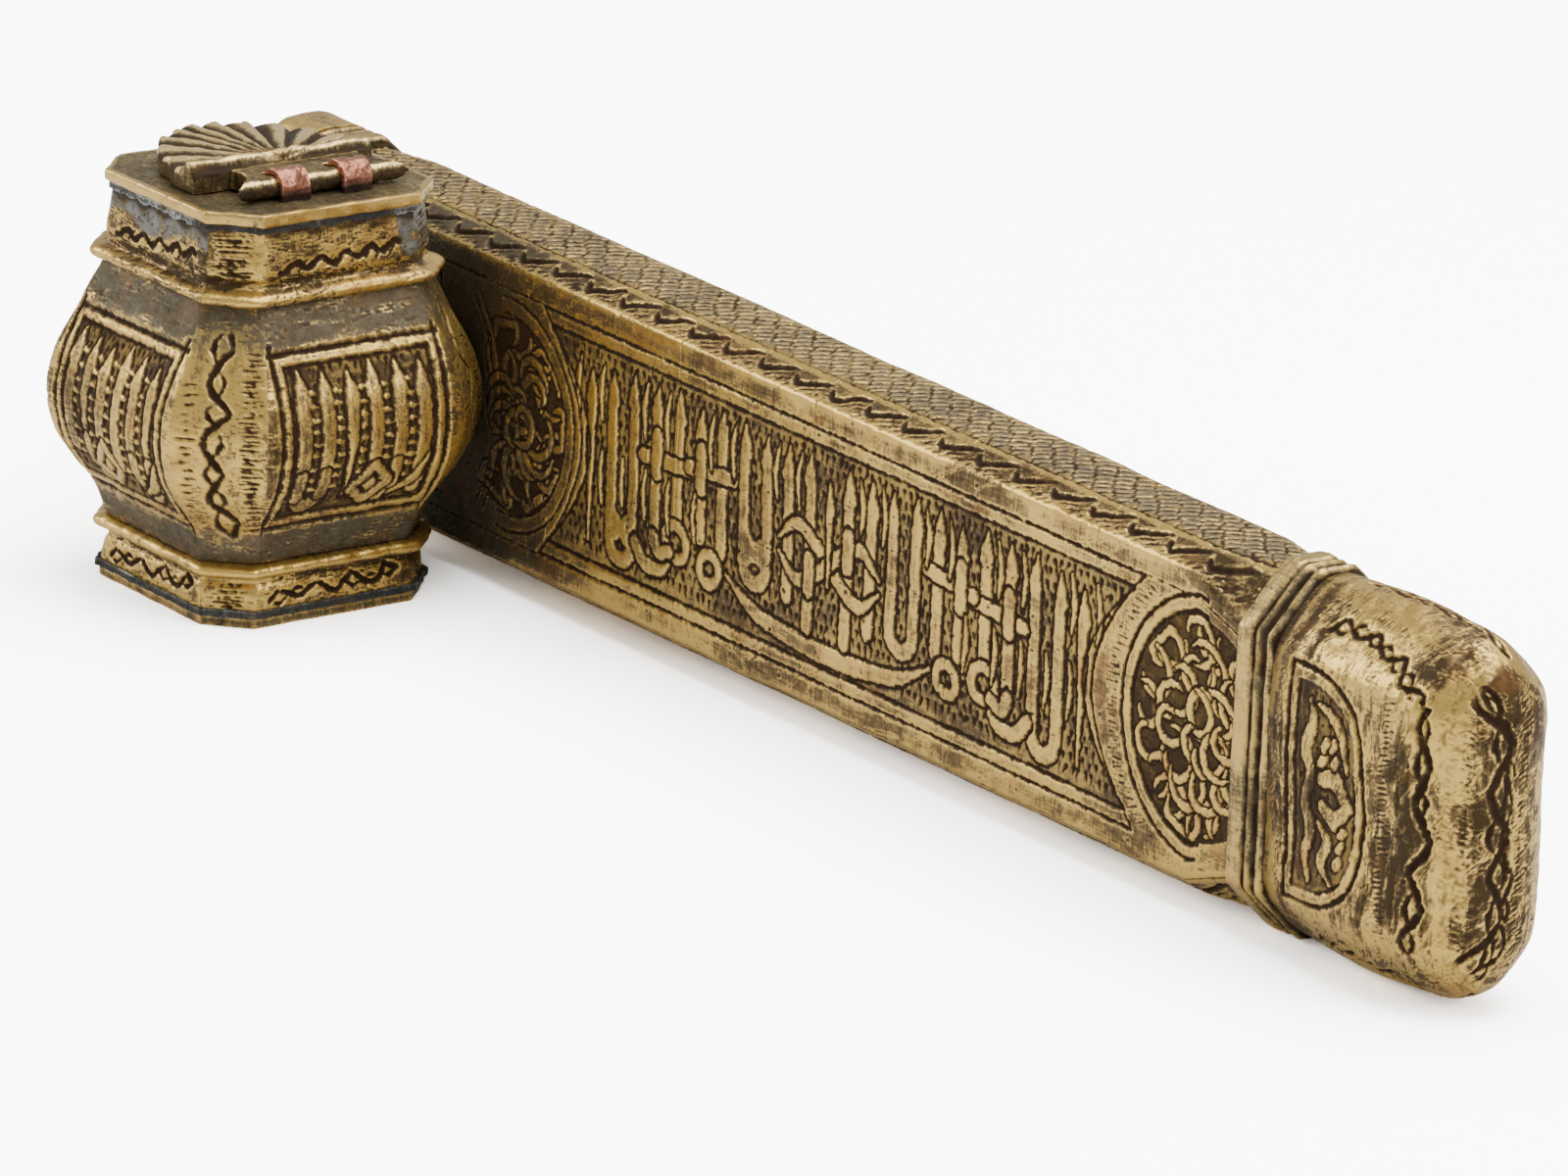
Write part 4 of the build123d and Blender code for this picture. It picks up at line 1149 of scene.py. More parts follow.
u, inset, along = end_profile(LID_LENGTH, 4.5, 0.0, 76, LID_HALF_Y - 0.05)
lid_lengths = side_lengths(LID_HALF_Y, LID_HALF_Z)
w, faces, shares = ring_weights(lid_counts, lid_lengths, 0.8)
ab = section(w, end_corners(LID_HALF_Y, LID_HALF_Z, inset))[::-1]
p = lid_point((lid_high[0] - u)[::-1], ab)
shape = p.shape[:2]
n = normals_of(p)
side = lid_face.sample(np.broadcast_to(along[::-1][:, None], shape), ab[..., 1])
on_side = np.isin(faces, (0, 4))[None, :] * np.clip((0.9 - np.abs(n[..., 0])) / 0.2, 0, 1)
end = lid_end.sample(ab[..., 0], ab[..., 1])
on_end = np.clip((-n[..., 0] - 0.62) / 0.16, 0, 1)
fields = [f * on_side * (1 - on_end) + g * on_end for f, g in zip(side, end)]
wear = edge_wear(faces, shares, lid_lengths, 1.4)[None, :] * (1 - on_end)
wear = wear + 0.8 * bell(inset[::-1], 1.6, 1.2)[:, None]
lid_p, lid_a = dress(p, fields, np.clip(wear, 0, 1), (0.2, 0.25), 0.08, 0.03, 0.34, base_rub=-0.05, grey=0.2)
LID_WALL = 1.2
ui, inset_i, _ = end_profile(LID_LENGTH - LID_WALL, 4.5, 0.0, 76, LID_HALF_Y - LID_WALL, 1.5)
ab = section(w, end_corners(LID_HALF_Y, LID_HALF_Z, np.minimum(inset_i + LID_WALL, LID_HALF_Y - 0.05)))
lid_inner = lid_point(lid_high[0] - ui, ab)
finish_cup("mouth_lid_shell", [(lid_p, lid_a), (lid_inner, None)], lid_counts, "mouth_lid", brass,
           "mouth_lid")


# ---- Inkwell ---------------------------------------------------------------------------------

POT_CUT = 4.8
POT_WALL = 1.3
pot_counts = [130, 40, 130, 40, 60, 40, 130, 40]


def pot_section(z, half, cut, soft=0.6):
    """Base grid of a part of the pot: faces 0 to 7 start with the -Y one and go by -X."""
    half = np.asarray(half, float)
    cut = np.broadcast_to(cut, half.shape)
    lengths = [2 * (half.mean() - cut.mean()), cut.mean() * 1.414] * 4
    w, faces, shares = ring_weights(pot_counts, lengths, soft)
    ab = section(w, octagon_corners(half, half, cut, cut))
    z = np.broadcast_to(np.asarray(z, float)[:, None], ab.shape[:2])
    return np.stack([POT_X - ab[..., 1], POT_Y + ab[..., 0], z], -1), w, faces, shares, lengths


def pot_fields(shape, z, half, cut, faces, shares, main, corner):
    """Samples the drawings: u runs to the right as each face is seen from outside."""
    fields = no_drawing(shape)
    for k in range(8):
        cols = np.flatnonzero(faces == k)
        span = 2 * (half - cut) if k % 2 == 0 else cut * math.sqrt(2)
        face = main[k // 2 % len(main)] if k % 2 == 0 else corner
        lay(fields, cols, face, -(shares[cols] - 0.5) * span[:, None], z[:, None])
    return fields


BELLY_LEVELS = np.array([7.7, 11.6, 14.8, 18.6, 23.4, 28.6, 34.2, 39.2])
BELLY_HALVES = np.array([15.3, 16.7, 18.9, 21.1, 22.0, 21.1, 18.4, 16.0])
BELLY_CUT = 8.3
profile = curve(np.stack([BELLY_LEVELS, BELLY_HALVES], 1), 24)


def belly_panel(low, high, seed):
    """One bulging side: a double-bordered panel of tall pointed stems over punched ground."""
    face = Face(-14, 14, 6.5, 40.5)
    face.scratches(330, (1.5, 7.0), (2.0, 6.0), 0.5, 0.03)
    face.rub[:, :] -= 0.06
    outer, inner = 11.3, 9.9
    gu, gv = face.grids()
    within = (np.abs(gu) < inner) & (gv > low + 1.3) & (gv < high - 1.3)
    face.ground(within, -0.16, 0.74)
    face.punches(lambda u, v: abs(u) < inner - 0.5 and low + 1.7 < v < high - 1.9, (1.1, 1.5), 1.2, 0.9)
    places = np.linspace(-inner + 1.6, inner - 1.6, 6)
    for k, u in enumerate(places, seed):
        top = high - 1.9 - 0.4 * (k % 3)
        bottom = low + (3.2 if k % 3 else 5.6)
        spear(face, u, bottom, top, 1.85, 1 if k % 2 else -1, foot=k % 4 != 1)
    for k in (0, 3) if seed % 2 else (1, 4):
        u1, u2 = places[k], places[k + 1]
        face.strap(arc((u1 + u2) / 2, low + 4.4, (u2 - u1) / 2, 180, 360, 10), (1.5, 1.7, 1.5))
        for u in (u1, u2):
            face.strap([(u, low + 4.2), (u, low + 7.0)], 1.6, outline=0.35)
    for u1, u2 in zip(places[:-1], places[1:]):
        for v in np.arange(low + 5.0, high - 3.4, 1.5):
            mid, level = (u1 + u2) / 2 + rng.normal(0, 0.06), v + rng.normal(0, 0.1)
            face.strap([(mid - 0.38, level), (mid + 0.5, level - 0.12)], (0.62, 0.1), outline=0.05)
    u = places[2] if seed % 2 == 0 else places[3]
    knot = [(-2.4, 4.2), (0.3, 7.2), (2.6, 4.6), (0, 2.2), (-2.4, 4.2)]
    face.strap([(u + a, low + b) for a, b in knot], 1.15, outline=0.5)
    tail = [(places[4], low + 2.6), (places[5] - 0.6, low + 4.2), (places[5] + 1.2, low + 7.4)]
    face.strap(curve(tail), (0.2, 1.3, 0.3))
    for inset, width in ((0.0, 0.85), (1.5, 0.75)):
        side, bottom, top = outer - inset, low + inset, high - inset
        corners = [(-side, bottom), (-side, top), (side, top), (side, bottom)]
        for p, q in zip(corners, corners[1:] + corners[:1]):
            over = 0.8 if inset == 0 else 0.0
            d = np.subtract(q, p) / np.hypot(*np.subtract(q, p))
            face.groove([np.array(p) - over * d, np.array(q) + over * d], width, 0.38)
    face.rub[within] += 0.06
    dull = np.clip((gv - high) / 2.0, 0, 1) + np.clip((low - gv) / 2.0, 0, 1)
    face.rub -= 0.5 * dull
    face.pits(60, (0.1, 0.22))
    return face


BELLY_PANEL = (12.4, 34.0)
mains = [belly_panel(*BELLY_PANEL, seed) for seed in (0, 2, 1, 3)]
corner = Face(-6.5, 6.5, 6.5, 40.5)
chain(corner, [(-0.2, 36.0), (-0.9, 33.4), (-0.5, 28.0), (-0.9, 22.0), (-0.4, 16.0), (0.5, 11.4)],
      1.3, 7, 1.15, 0.5)
for row in (((3.5, 34.4), (3.6, 12.2), 40, 3.2, 2, 0.48, 0.24, 1.0),
            ((-4.0, 31.0), (-4.0, 15.0), 16, 2.7, 4, 0.44, 0.2, 1.0),
            ((0.4, 37.4), (0.4, 34.6), 5, 4.4, 2, 0.2, 0.08, 0.8)):
    corner.ticks(*row)
corner.scratches(160, (1.0, 4.0), (5.0, 14.0), 0.4, 0.025)
corner.rub += 0.2
gu, gv = corner.grids()
corner.rub -= 0.45 * (np.clip((gv - 34.5) / 3, 0, 1) + np.clip((11.5 - gv) / 3, 0, 1))

z = np.linspace(BELLY_LEVELS[0], BELLY_LEVELS[-1], 151)
half = np.interp(z, profile[:, 0], profile[:, 1])
cut = POT_CUT + (BELLY_CUT - POT_CUT) * (half - BELLY_HALVES.min()) / np.ptp(BELLY_HALVES)
p, w, faces, shares, lengths = pot_section(z, half, cut, 0.7)
fields = pot_fields(p.shape[:2], z, half, cut, faces, shares, mains, corner)
wear = edge_wear(faces, shares, lengths, 1.1)[None, :] * np.clip((half - 15.5) / 4, 0.15, 1)[:, None]
# Painted shade on the +Y face, the one that faces the case; the whole belly a little darker, and grey above
# and below the panels.
pot_back_shade = np.isin(faces, (4,))[None, :]
outside = (np.clip((z - 33.5) / 1.5, 0, 1) + np.clip((12.9 - z) / 1.5, 0, 1))[:, None] * np.ones(p.shape[:2])
belly_p, belly_a = dress(p, fields, wear, (0.19, 0.2), 0.09, 0.04, 0.5,
                         shade=0.5 * pot_back_shade + 0.16, grey=0.85 * outside)
few = [0, 37, 75, -1]
inner_p, *_ = pot_section(z[few], half[few] - POT_WALL, cut[few] - 0.76, 0.7)
finish_grid("inkwell_belly", belly_p, inner_p, belly_a, "case", brass, "inkwell_body",
            (0.7, -0.5, 0.3))

neck_main = Face(-11, 11, 38.5, 49.5)
for k in range(2):
    t = np.linspace(-8.6 + 0.5 * k, 8.8, 60)
    wave = 0.55 * np.sin(t * 1.75 + k * 0.9) * (1 - 0.35 * k)
    neck_main.groove(np.stack([t, 43.7 + 0.16 * t * 0.4 + wave], 1), 0.75 if k == 0 else 0.45, 0.36)
for t in np.arange(-7.8, 8.4, 1.8):
    neck_main.groove([(t, 42.7), (t + 1.5, 44.2 + 0.02 * t)], (0.1, 0.5, 0.1), 0.24)
neck_main.scratches(260, (1.0, 5.0), (3.0, 9.0), 0.5, 0.025)
neck_main.pits(40)
gu, gv = neck_main.grids()
neck_main.rub += 0.1 * np.clip((gv - 44.5) / 1.0, 0, 1) - 0.34 * bell(gv, 41.8, 0.9)
# Painted shadow of the plate: a dark band just under its edge.
plate_shadow = np.clip((gv - neck_high[2] + 2.2 + 0.3 * np.sin(gu * 1.3)) / 0.8, 0, 1)
neck_main.cut = np.maximum(neck_main.cut, 0.85 * plate_shadow)
neck_corner = Face(-4, 4, 38.5, 49.5)
neck_corner.ticks((0, 47.0), (0, 45.2), 4, 4.6, 2, 0.42, 0.2, 1.0)
neck_corner.ticks((0, 44.6), (0, 42.4), 6, 5.4, 2, 0.5, 0.26, 1.0)
neck_corner.scratches(60, (1.0, 4.0), (3.0, 12.0), 0.4, 0.025)
gu, gv = neck_corner.grids()
neck_corner.rub += 0.2 - 0.5 * bell(gv, 41.6, 0.7)
foot_main = Face(-12, 12, -0.5, 9)
chain(foot_main, [(-8.8, 2.9), (-5.5, 3.6), (-2.0, 3.5), (2.0, 3.9), (5.6, 3.7), (9.2, 4.6)],
      0.8, 7, 0.85, 0.4)
foot_main.scratches(220, (1.0, 6.0), (3.0, 9.0), 0.5, 0.03)
foot_main.pits(40)
gu, gv = foot_main.grids()
foot_main.rub += 0.12 - 0.4 * bell(gv, 5.6, 0.6)
foot_corner = Face(-4, 4, -0.5, 9)
foot_corner.ticks((0.2, 5.2), (0.2, 2.0), 9, 5.2, 2, 0.36, 0.16, 0.95)
foot_corner.rub += 0.12


def rim(name, node, low_z, high_z, low_half, high_half, ridge_z, hollow, all_shade, main, corner, grey):
    """The neck or the foot: a band with a moulding next to the belly, and a hollow by the moulding."""
    z = np.arange(low_z, high_z + 0.001, 0.13)
    half = low_half + (high_half - low_half) * (z - low_z) / (high_z - low_z)
    t = np.clip(np.abs(z - ridge_z - 0.85) / 0.85, 0, 1)
    moulding = np.sqrt(np.clip(1 - t ** 2.4, 0, 1))
    half = half + 1.15 * moulding - 0.35 * bell(z, ridge_z + hollow, 0.7)
    cut = np.full(len(z), POT_CUT)
    p, w, faces, shares, lengths = pot_section(z, half, cut, 0.5)
    fields = pot_fields(p.shape[:2], z, np.full(len(z), low_half), cut, faces, shares, [main], corner)
    fields[2] = fields[2] + 0.34 * moulding[:, None] - 0.1
    fields[1] = np.maximum(fields[1] * (1 - moulding[:, None]), 0.5 * bell(z, ridge_z - 0.15, 0.25)[:, None])
    wear = np.broadcast_to(edge_wear(faces, shares, lengths, 0.9), p.shape[:2])
    # Painted shade on the +Y face, which faces the case; all_shade darkens the whole band.
    shade = 0.4 * np.isin(faces, (4,))[None, :] + all_shade
    smears = grey(z[:, None], faces[None, :], shares[None, :]) * np.ones(p.shape[:2])
    out, attributes = dress(p, fields, wear, (0.13, 0.2), 0.06, 0.04, 0.5, shade=shade, grey=smears)
    inner, *_ = pot_section([low_z, high_z], [low_half - POT_WALL, high_half - POT_WALL], [4.04, 4.04], 0.5)
    finish_grid(name, out, inner, attributes, "case", brass, node, (0.7, -0.5, 0.3))


def neck_grey(z, faces, shares):
    """Solder left on the neck: a broad smear on the -Y side and a patch at the +X side's far end."""
    band = np.clip((z - 44.6 - 0.9 * np.sin(shares * 9.0)) / 0.8, 0, 1)
    low_band = np.clip((z - 42.0 - 0.6 * np.sin(shares * 9.0)) / 0.8, 0, 1)
    patch = (faces == 5) | ((faces == 6) & (shares < 0.12))
    return band * (2.0 * (faces == 0) + 1.8 * (faces == 1)) + low_band * 2.0 * patch


def foot_grey(z, faces, shares):
    """Solder along the foot's lower edge."""
    return 0.9 * np.clip((1.2 + 0.4 * np.sin(shares * 14) - z) / 0.5, 0, 1)


rim("inkwell_neck_band", "inkwell_neck", neck_low[2], neck_high[2], 16.0, 15.1, 39.2, 2.3, 0.3,
    neck_main, neck_corner, neck_grey)
rim("inkwell_foot_band", "inkwell_foot", foot_low[2], foot_high[2], 15.8, 15.3, 6.0, -0.6, 0.14,
    foot_main, foot_corner, foot_grey)


# ---- Small cast and bent pieces --------------------------------------------------------------


def edge_sums(me):
    """Pairs of joined points and how many each point has."""
    pairs = np.empty(len(me.edges) * 2, np.int32)
    me.edges.foreach_get("vertices", pairs)
    pairs = pairs.reshape(-1, 2)
    return pairs, np.maximum(np.bincount(pairs.ravel(), minlength=len(me.vertices)), 1)


def spread(values, pairs, count, times):
    """Values averaged with their neighbours, a number of times."""
    for _ in range(times):
        total = np.zeros_like(values)
        np.add.at(total, pairs[:, 0], values[pairs[:, 1]])
        np.add.at(total, pairs[:, 1], values[pairs[:, 0]])
        values = 0.5 * values + 0.5 * total / (count[:, None] if values.ndim == 2 else count)
    return values


def lumps(points, size, seed):
    """A smooth seeded field over places in space, from sine waves in many directions."""
    r = np.random.default_rng(seed)
    total = np.zeros(len(points))
    for _ in range(14):
        d = r.standard_normal(3)
        d *= 2 * math.pi / (size * r.uniform(0.7, 1.6)) / np.linalg.norm(d)
        total += np.sin(points @ d + r.uniform(0, 7))
    return total / 2.6


def worn_copy(name, node, body, metal, voxel, rounds, beaten, size, rub_gain=9.0, base_rub=0.0,
              tone=None, shine=None):
    """A remeshed copy of a CAD node with rounded, beaten edges, rubbed where it stands proud."""
    material, slot = metal
    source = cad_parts[node]
    ob = placed(name + "_draft", source.data.copy())
    fine = ob.modifiers.new("fine", "REMESH")
    fine.mode = "VOXEL"
    fine.voxel_size = voxel * MM
    me = bpy.data.meshes.new_from_object(ob.evaluated_get(bpy.context.evaluated_depsgraph_get()))
    bpy.data.objects.remove(ob)
    me.name = name
    co = np.empty(len(me.vertices) * 3, np.float32)
    me.vertices.foreach_get("co", co)
    p = co.reshape(-1, 3).astype(float) / MM
    pairs, count = edge_sums(me)
    p = spread(p, pairs, count, rounds)
    me.vertices.foreach_set("co", (p * MM).astype(np.float32).ravel())
    me.update()
    normals = np.empty(len(me.vertices) * 3, np.float32)
    me.vertices.foreach_get("normal", normals)
    normals = normals.reshape(-1, 3)
    flatter = spread(p, pairs, count, 10)
    proud = spread(np.sum((p - flatter) * normals, 1), pairs, count, 2)
    bumps = lumps(p, size, len(name)) * beaten + lumps(p, size * 0.35, len(name) + 5) * beaten * 0.4
    p = p + normals * bumps[:, None]
    me.vertices.foreach_set("co", (p * MM).astype(np.float32).ravel())
    # tone darkens given places (painted shade on the bar's nose, painted shadow of the plate on the top bead,
    # dark feet on the staples), and shine brightens them (a painted highlight on the bar's nose, a bright
    # edge on the plate).
    cut = np.clip(-proud * 6.0, 0, 0.5)
    if tone is not None:
        cut = np.clip(np.maximum(cut, tone(p)), 0, 1)
    rub = np.clip(proud * rub_gain, -0.2, 0.7) + base_rub + (0 if shine is None else shine(p))
    for key, values in (("cut", cut), ("rub", rub), ("grey", np.zeros(len(p)))):
        me.attributes.new(key, "FLOAT", "POINT").data.foreach_set("value", values.astype(np.float32))
    me.materials.clear()
    me.materials.append(material)
    me.polygons.foreach_set("use_smooth", np.ones(len(me.polygons), bool))
    me.update()
    stands_for(placed(name, me), body, node)


def plate_shine(p):
    """Bright along the plate's edge, dull on its top."""
    a, b = np.abs(p[:, 0] - POT_X), np.abs(p[:, 1] - POT_Y)
    half = (plate_high[0] - plate_low[0]) / 2
    out = np.maximum(np.maximum(a, b) - half, (a + b - 2 * half + POT_CUT) / math.sqrt(2))
    near_edge = np.clip(1 + (out + 0.35) / 0.5, 0, 1)
    return 0.75 * near_edge * np.clip(1.2 + 0.5 * lumps(p, 5.0, 3), 0, 1.3) - 0.12


def bar_place(p):
    """Angle in degrees round the rod, 0 at the front and 90 on top, and whether it is the bar's nose."""
    return np.degrees(np.arctan2(p[:, 2] - ROD_Z, p[:, 0] - ROD_X)), p[:, 0] > ROD_X


def bar_highlight(p):
    """A painted highlight along the nose's upper edge, and brighter next to the shell."""
    angle, nose = bar_place(p)
    return 0.85 * nose * bell(angle, 48, 13) + 0.5 * bell(p[:, 0], SHELL_X + 0.3, 0.25) - 0.2


def bar_nose_shade(p):
    """Painted shade over the nose's lower front and underside."""
    angle, nose = bar_place(p)
    return 0.75 * nose * np.clip((28 - angle) / 14, 0, 1)


def staple_tone(p):
    """Dark at the staples' feet."""
    return np.clip((plate_high[2] + 2.1 - p[:, 2]) / 1.4, 0, 1) * 0.95


def bead_shadow(p):
    """Painted shadow under the plate, along the bead's +X side by the camera."""
    return 0.9 * np.clip((p[:, 0] - POT_X) / 4 - 1.5, 0, 1) * np.clip((POT_Y + 9 - p[:, 1]) / 3, 0, 1)


ROD_X = (box("ink_lid_staples")[0][0] + box("ink_lid_staples")[1][0]) / 2
ROD_Z = (box("ink_lid_hinge_bar")[0][2] + box("ink_lid_hinge_bar")[1][2]) / 2
SHELL_X = shell_high[0]
PLAIN, CAST = (plain, "plain_brass"), (cast, "cast_brass")
COPPER, SOLDER = (copper, "copper"), (solder, "solder")
worn_copy("inkwell_top", "inkwell_top_plate", "case", PLAIN, 0.2, 2, 0.04, 4.0, 5.0, shine=plate_shine)
worn_copy("inkwell_sole", "inkwell_base_plate", "case", PLAIN, 0.24, 2, 0.04, 4.0, base_rub=-0.3)
worn_copy("bar_casting", "ink_lid_hinge_bar", "ink_lid", CAST, 0.13, 2, 0.035, 2.2, 6.0,
          tone=bar_nose_shade, shine=bar_highlight)
worn_copy("staple_straps", "ink_lid_staples", "case", COPPER, 0.1, 3, 0.05, 2.2, 8.0, tone=staple_tone)
worn_copy("hinge_barrels_case", "mouth_hinge_knuckles", "case", PLAIN, 0.14, 2, 0.02, 2.0)
worn_copy("hinge_barrel_lid", "mouth_lid_knuckle", "mouth_lid", PLAIN, 0.14, 2, 0.02, 2.0)
worn_copy("hinge_pin_worn", "mouth_hinge_pin", "case", PLAIN, 0.12, 2, 0.0, 2.0)
worn_copy("lid_sleeve", "mouth_lid_lip", "mouth_lid", PLAIN, 0.2, 1, 0.02, 3.0)
worn_copy("pot_saddle", "inkwell_saddle", "case", SOLDER, 0.2, 4, 0.1, 2.0, base_rub=-0.2)
worn_copy("top_bead", "top_plate_solder", "case", SOLDER, 0.14, 2, 0.1, 1.8, base_rub=-0.1, tone=bead_shadow)
worn_copy("base_bead", "base_plate_solder", "case", SOLDER, 0.12, 1, 0.05, 1.8, base_rub=-0.4)


# ---- Ink lid shell ---------------------------------------------------------------------------

SHELL_Y = (shell_low[1] + shell_high[1]) / 2
SHELL_REACH = (shell_high[0] - shell_low[0]) / 1.04
SHELL_HALF = (shell_high[1] - shell_low[1]) / 2 / 1.03
LOBES = 8
FLUTES = 12
turns = np.linspace(0, 180, 421)
lobe = (turns % (180 / LOBES)) / (180 / LOBES)
bulge = 1 + 0.055 * np.sqrt(np.clip(1 - (2 * lobe - 1) ** 2, 0, 1))
edge_x = -SHELL_REACH * np.sin(np.radians(turns)) * bulge
edge_y = -SHELL_HALF * np.cos(np.radians(turns)) * bulge
FACE_ROWS = 110
WALL_ROWS = 13
rounding = np.radians(np.linspace(8, 90, 10))
r = np.concatenate([np.linspace(0, 0.97, FACE_ROWS), 0.97 + 0.03 * np.sin(rounding)])
drop = np.concatenate([np.zeros(FACE_ROWS), 0.55 * (1 - np.cos(rounding))])
sx = r[:, None] * edge_x[None, :]
sy = r[:, None] * edge_y[None, :]
thick = shell_high[2] - shell_low[2]
# Flutes fan from the middle of the ridge: each rises slowly and falls sharply to a dark line.
fan = (turns / 180 * FLUTES + 0.12 * np.sin(turns / 13.0)) % 1
wave = np.where(fan < 0.72, np.sin(fan / 0.72 * np.pi / 2), np.cos((fan - 0.72) / 0.28 * np.pi / 2)) - 0.45
strength = np.clip(r * 1.5, 0, 1)[:, None]
ridge = np.exp(-((sx + 1.1) / 0.8) ** 4)
top = -0.9 - 0.35 * r[:, None] ** 2 + 0.72 * wave[None, :] * strength
top = top * (1 - ridge) + ridge * (0.1 - 0.28 * np.abs(sx + 1.3) + 0.12 * np.sin(sy * 0.9))
top -= drop[:, None]
bumpy = 0.05 * smooth_noise(sx.shape, (0.15, 0.1), 1.2)
height = thick + top + bumpy
valley = np.clip((0.22 - np.abs((fan + 0.5) % 1 - 0.6)) / 0.12, 0, 1)[None, :] * strength * (1 - ridge)
cut = np.clip(0.72 * valley + 0.8 * bell(sx, -2.4, 0.4) * (r[:, None] > 0.1), 0, 1)
rub = 1.3 * np.clip(wave[None, :] * 2.2 - 0.5, -0.6, 0.75) * strength * (1 - ridge) - 0.12
rub = rub + 0.75 * bell(sx, -0.9, 0.32) + 0.3 * bell(r[:, None], 0.97, 0.03)
# Below the lobed rim a wall runs down, drawn in a little.
skirt = np.linspace(1, 0, WALL_ROWS + 1)[1:, None]
gx = np.concatenate([sx, edge_x * (1 - 0.02 * (1 - skirt))])
gy = np.concatenate([sy, edge_y * (1 - 0.02 * (1 - skirt))])
gz = np.concatenate([height, height[-1] * skirt])
n, m = gx.shape
wall_cut = 0.3 * np.linspace(0.2, 1.4, WALL_ROWS)[:, None] * np.ones(m)
points = np.stack([SHELL_X + gx, SHELL_Y + gy, shell_low[2] + gz], -1)
# The front is a wall under the grid's two straight edges, and the underside is hollowed.
index = np.arange(n * m).reshape(n, m)
quads = np.stack([index[:-1, :-1], index[1:, :-1], index[1:, 1:], index[:-1, 1:]], -1).reshape(-1, 4)
count = n * m
flat_points = points.reshape(-1, 3)
rim_row = np.concatenate([index[1:, 0][::-1], index[:, -1]])
rim_points = flat_points[rim_row]
new, front_quads = [], []
previous = rim_row
for level in np.linspace(1, 0, 10)[1:]:
    row = rim_points.copy()
    row[:, 2] = shell_low[2] + (rim_points[:, 2] - shell_low[2]) * level
    row[:, 0] += 0.05 * np.sin(row[:, 1] * 1.7 + level * 4)
    ids = np.arange(count, count + len(row))
    front_quads.append(np.stack([previous[:-1], previous[1:], ids[1:], ids[:-1]], -1))
    new.append(row)
    count += len(row)
    previous = ids
under_ids = [index[-1]]
for share in (0.8, 0.55, 0.3, 0.02):
    row = np.stack([SHELL_X + edge_x * share * 0.98, SHELL_Y + edge_y * share * 0.98,
                    np.full(m, shell_low[2] + (0.0 if share > 0.7 else 0.9))], -1)
    under_ids.append(np.arange(count, count + m))
    new.append(row)
    count += m
under_quads = [np.stack([a[:-1], b[:-1], b[1:], a[1:]], -1) for a, b in zip(under_ids[:-1], under_ids[1:])]
all_points = np.concatenate([flat_points] + new)
all_quads = np.concatenate([quads] + front_quads + under_quads)
extra = len(all_points) - n * m
full = {"cut": np.concatenate([cut.ravel(), wall_cut.ravel(), np.full(extra, 0.35)]),
        "rub": np.concatenate([rub.ravel(), np.full(WALL_ROWS * m, -0.1), np.full(extra, -0.12)]),
        "grey": np.zeros(len(all_points))}
make_mesh("shell_casting", all_points, all_quads, np.zeros(len(all_quads), bool), full, "ink_lid", cast,
          "ink_lid_shell")


# ---- Camera, floor and light -----------------------------------------------------------------

AZIMUTH, ELEVATION, ROLL = 53.554, 17.782, 2.10
# A long lens, how far off it stands, and how far to the side of the origin and above it the camera aims.
SENSOR, LENS = 36, 213.75
DISTANCE = 1055.203821
AIM_RIGHT, AIM_UP = 9.146285, 17.283905
# The camera's numbers hold for a case whose axis is here, so the camera moves with the axis.
FITTED_AXIS_Y = 19.2131
a, e, roll = (math.radians(v) for v in (AZIMUTH, ELEVATION, ROLL))
back = Vector((math.sin(a) * math.cos(e), -math.cos(a) * math.cos(e), math.sin(e)))
right = Vector((math.cos(a), math.sin(a), 0))
up = Vector((-math.sin(a) * math.sin(e), math.cos(a) * math.sin(e), math.cos(e)))
right_r = right * math.cos(roll) + up * math.sin(roll)
up_r = -right * math.sin(roll) + up * math.cos(roll)
aim = AIM_RIGHT * right_r + AIM_UP * up_r + Vector((0, AXIS_Y - FITTED_AXIS_Y, 0))
place = (aim + DISTANCE * back) * MM
camera_data = bpy.data.cameras.new("camera")
camera_data.sensor_width = SENSOR
camera_data.lens = LENS
camera_data.clip_start = 0.01
camera = placed("camera", camera_data)
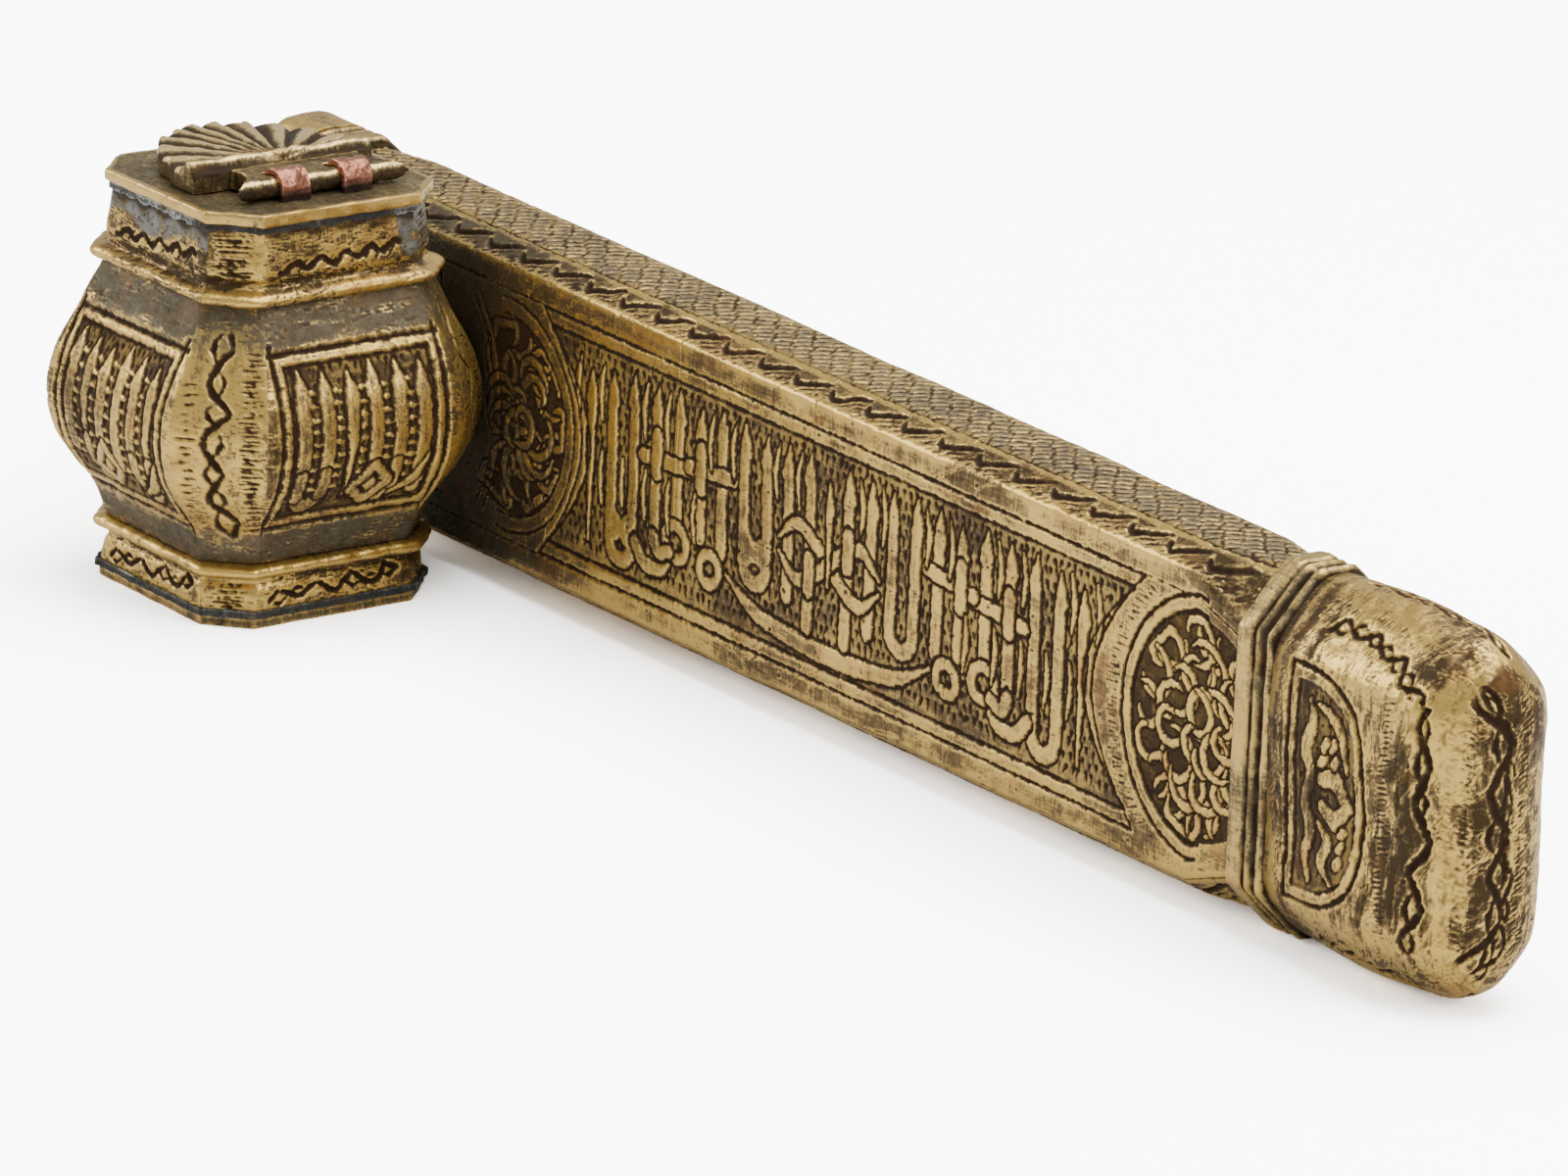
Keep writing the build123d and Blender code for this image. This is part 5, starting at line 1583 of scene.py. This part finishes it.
camera.matrix_world = Matrix((
    (right_r.x, up_r.x, back.x, place.x),
    (right_r.y, up_r.y, back.y, place.y),
    (right_r.z, up_r.z, back.z, place.z),
    (0, 0, 0, 1)))
bpy.context.scene.camera = camera

floor_mesh = bpy.data.meshes.new("floor")
floor_mesh.from_pydata([(-4, -4, 0), (4, -4, 0), (4, 4, 0), (-4, 4, 0)], [], [(0, 1, 2, 3)])
floor_nodes = Nodes("floor_white")
tint = floor_nodes.ramp(floor_nodes.noise(60.0, 2.0, 0.5), 0.2, 0.8)
seen = floor_nodes.node("ShaderNodeLightPath").outputs["Is Camera Ray"]
paint = floor_nodes.node("ShaderNodeBsdfDiffuse")
floor_nodes.link(floor_nodes.mix(tint, (0.8, 0.8, 0.8), (0.84, 0.84, 0.84)), paint.inputs["Color"])
lit = floor_nodes.node("ShaderNodeBsdfDiffuse")
lit.inputs["Color"].default_value = (5.0, 5.0, 5.0, 1.0)
both_paints = floor_nodes.node("ShaderNodeMixShader")
floor_nodes.link(seen, both_paints.inputs[0])
floor_nodes.link(paint.outputs[0], both_paints.inputs[1])
floor_nodes.link(lit.outputs[0], both_paints.inputs[2])
floor_nodes.link(both_paints.outputs[0], floor_nodes.tree.nodes["Material Output"].inputs["Surface"])
floor_mesh.materials.append(floor_nodes.material)
floor = placed("floor", floor_mesh)


def soft_light(name, place, target, size, power):
    """A large white lamp that faces its target."""
    data = bpy.data.lights.new(name, "AREA")
    data.shape = "RECTANGLE"
    data.size, data.size_y = size
    data.energy = power
    ob = placed(name, data)
    ob.location = place
    ob.rotation_euler = (Vector(target) - Vector(place)).to_track_quat("-Z", "Y").to_euler()


soft_light("overhead", (0.1, 0.25, 1.1), (0, 0, 0), (1.3, 1.0), 20)
soft_light("left", (-1.0, -0.9, 0.7), (0, 0, 0.02), (0.8, 0.8), 10)
soft_light("right", (1.2, 0.5, 0.7), (0.05, 0, 0.02), (0.6, 0.8), 7)
world = bpy.data.worlds.new("world")
bpy.context.scene.world = world
world.use_nodes = True
sky = world.node_tree.nodes["Background"]
sky.inputs["Color"].default_value = (1, 1, 1, 1)
sky.inputs["Strength"].default_value = 0.6
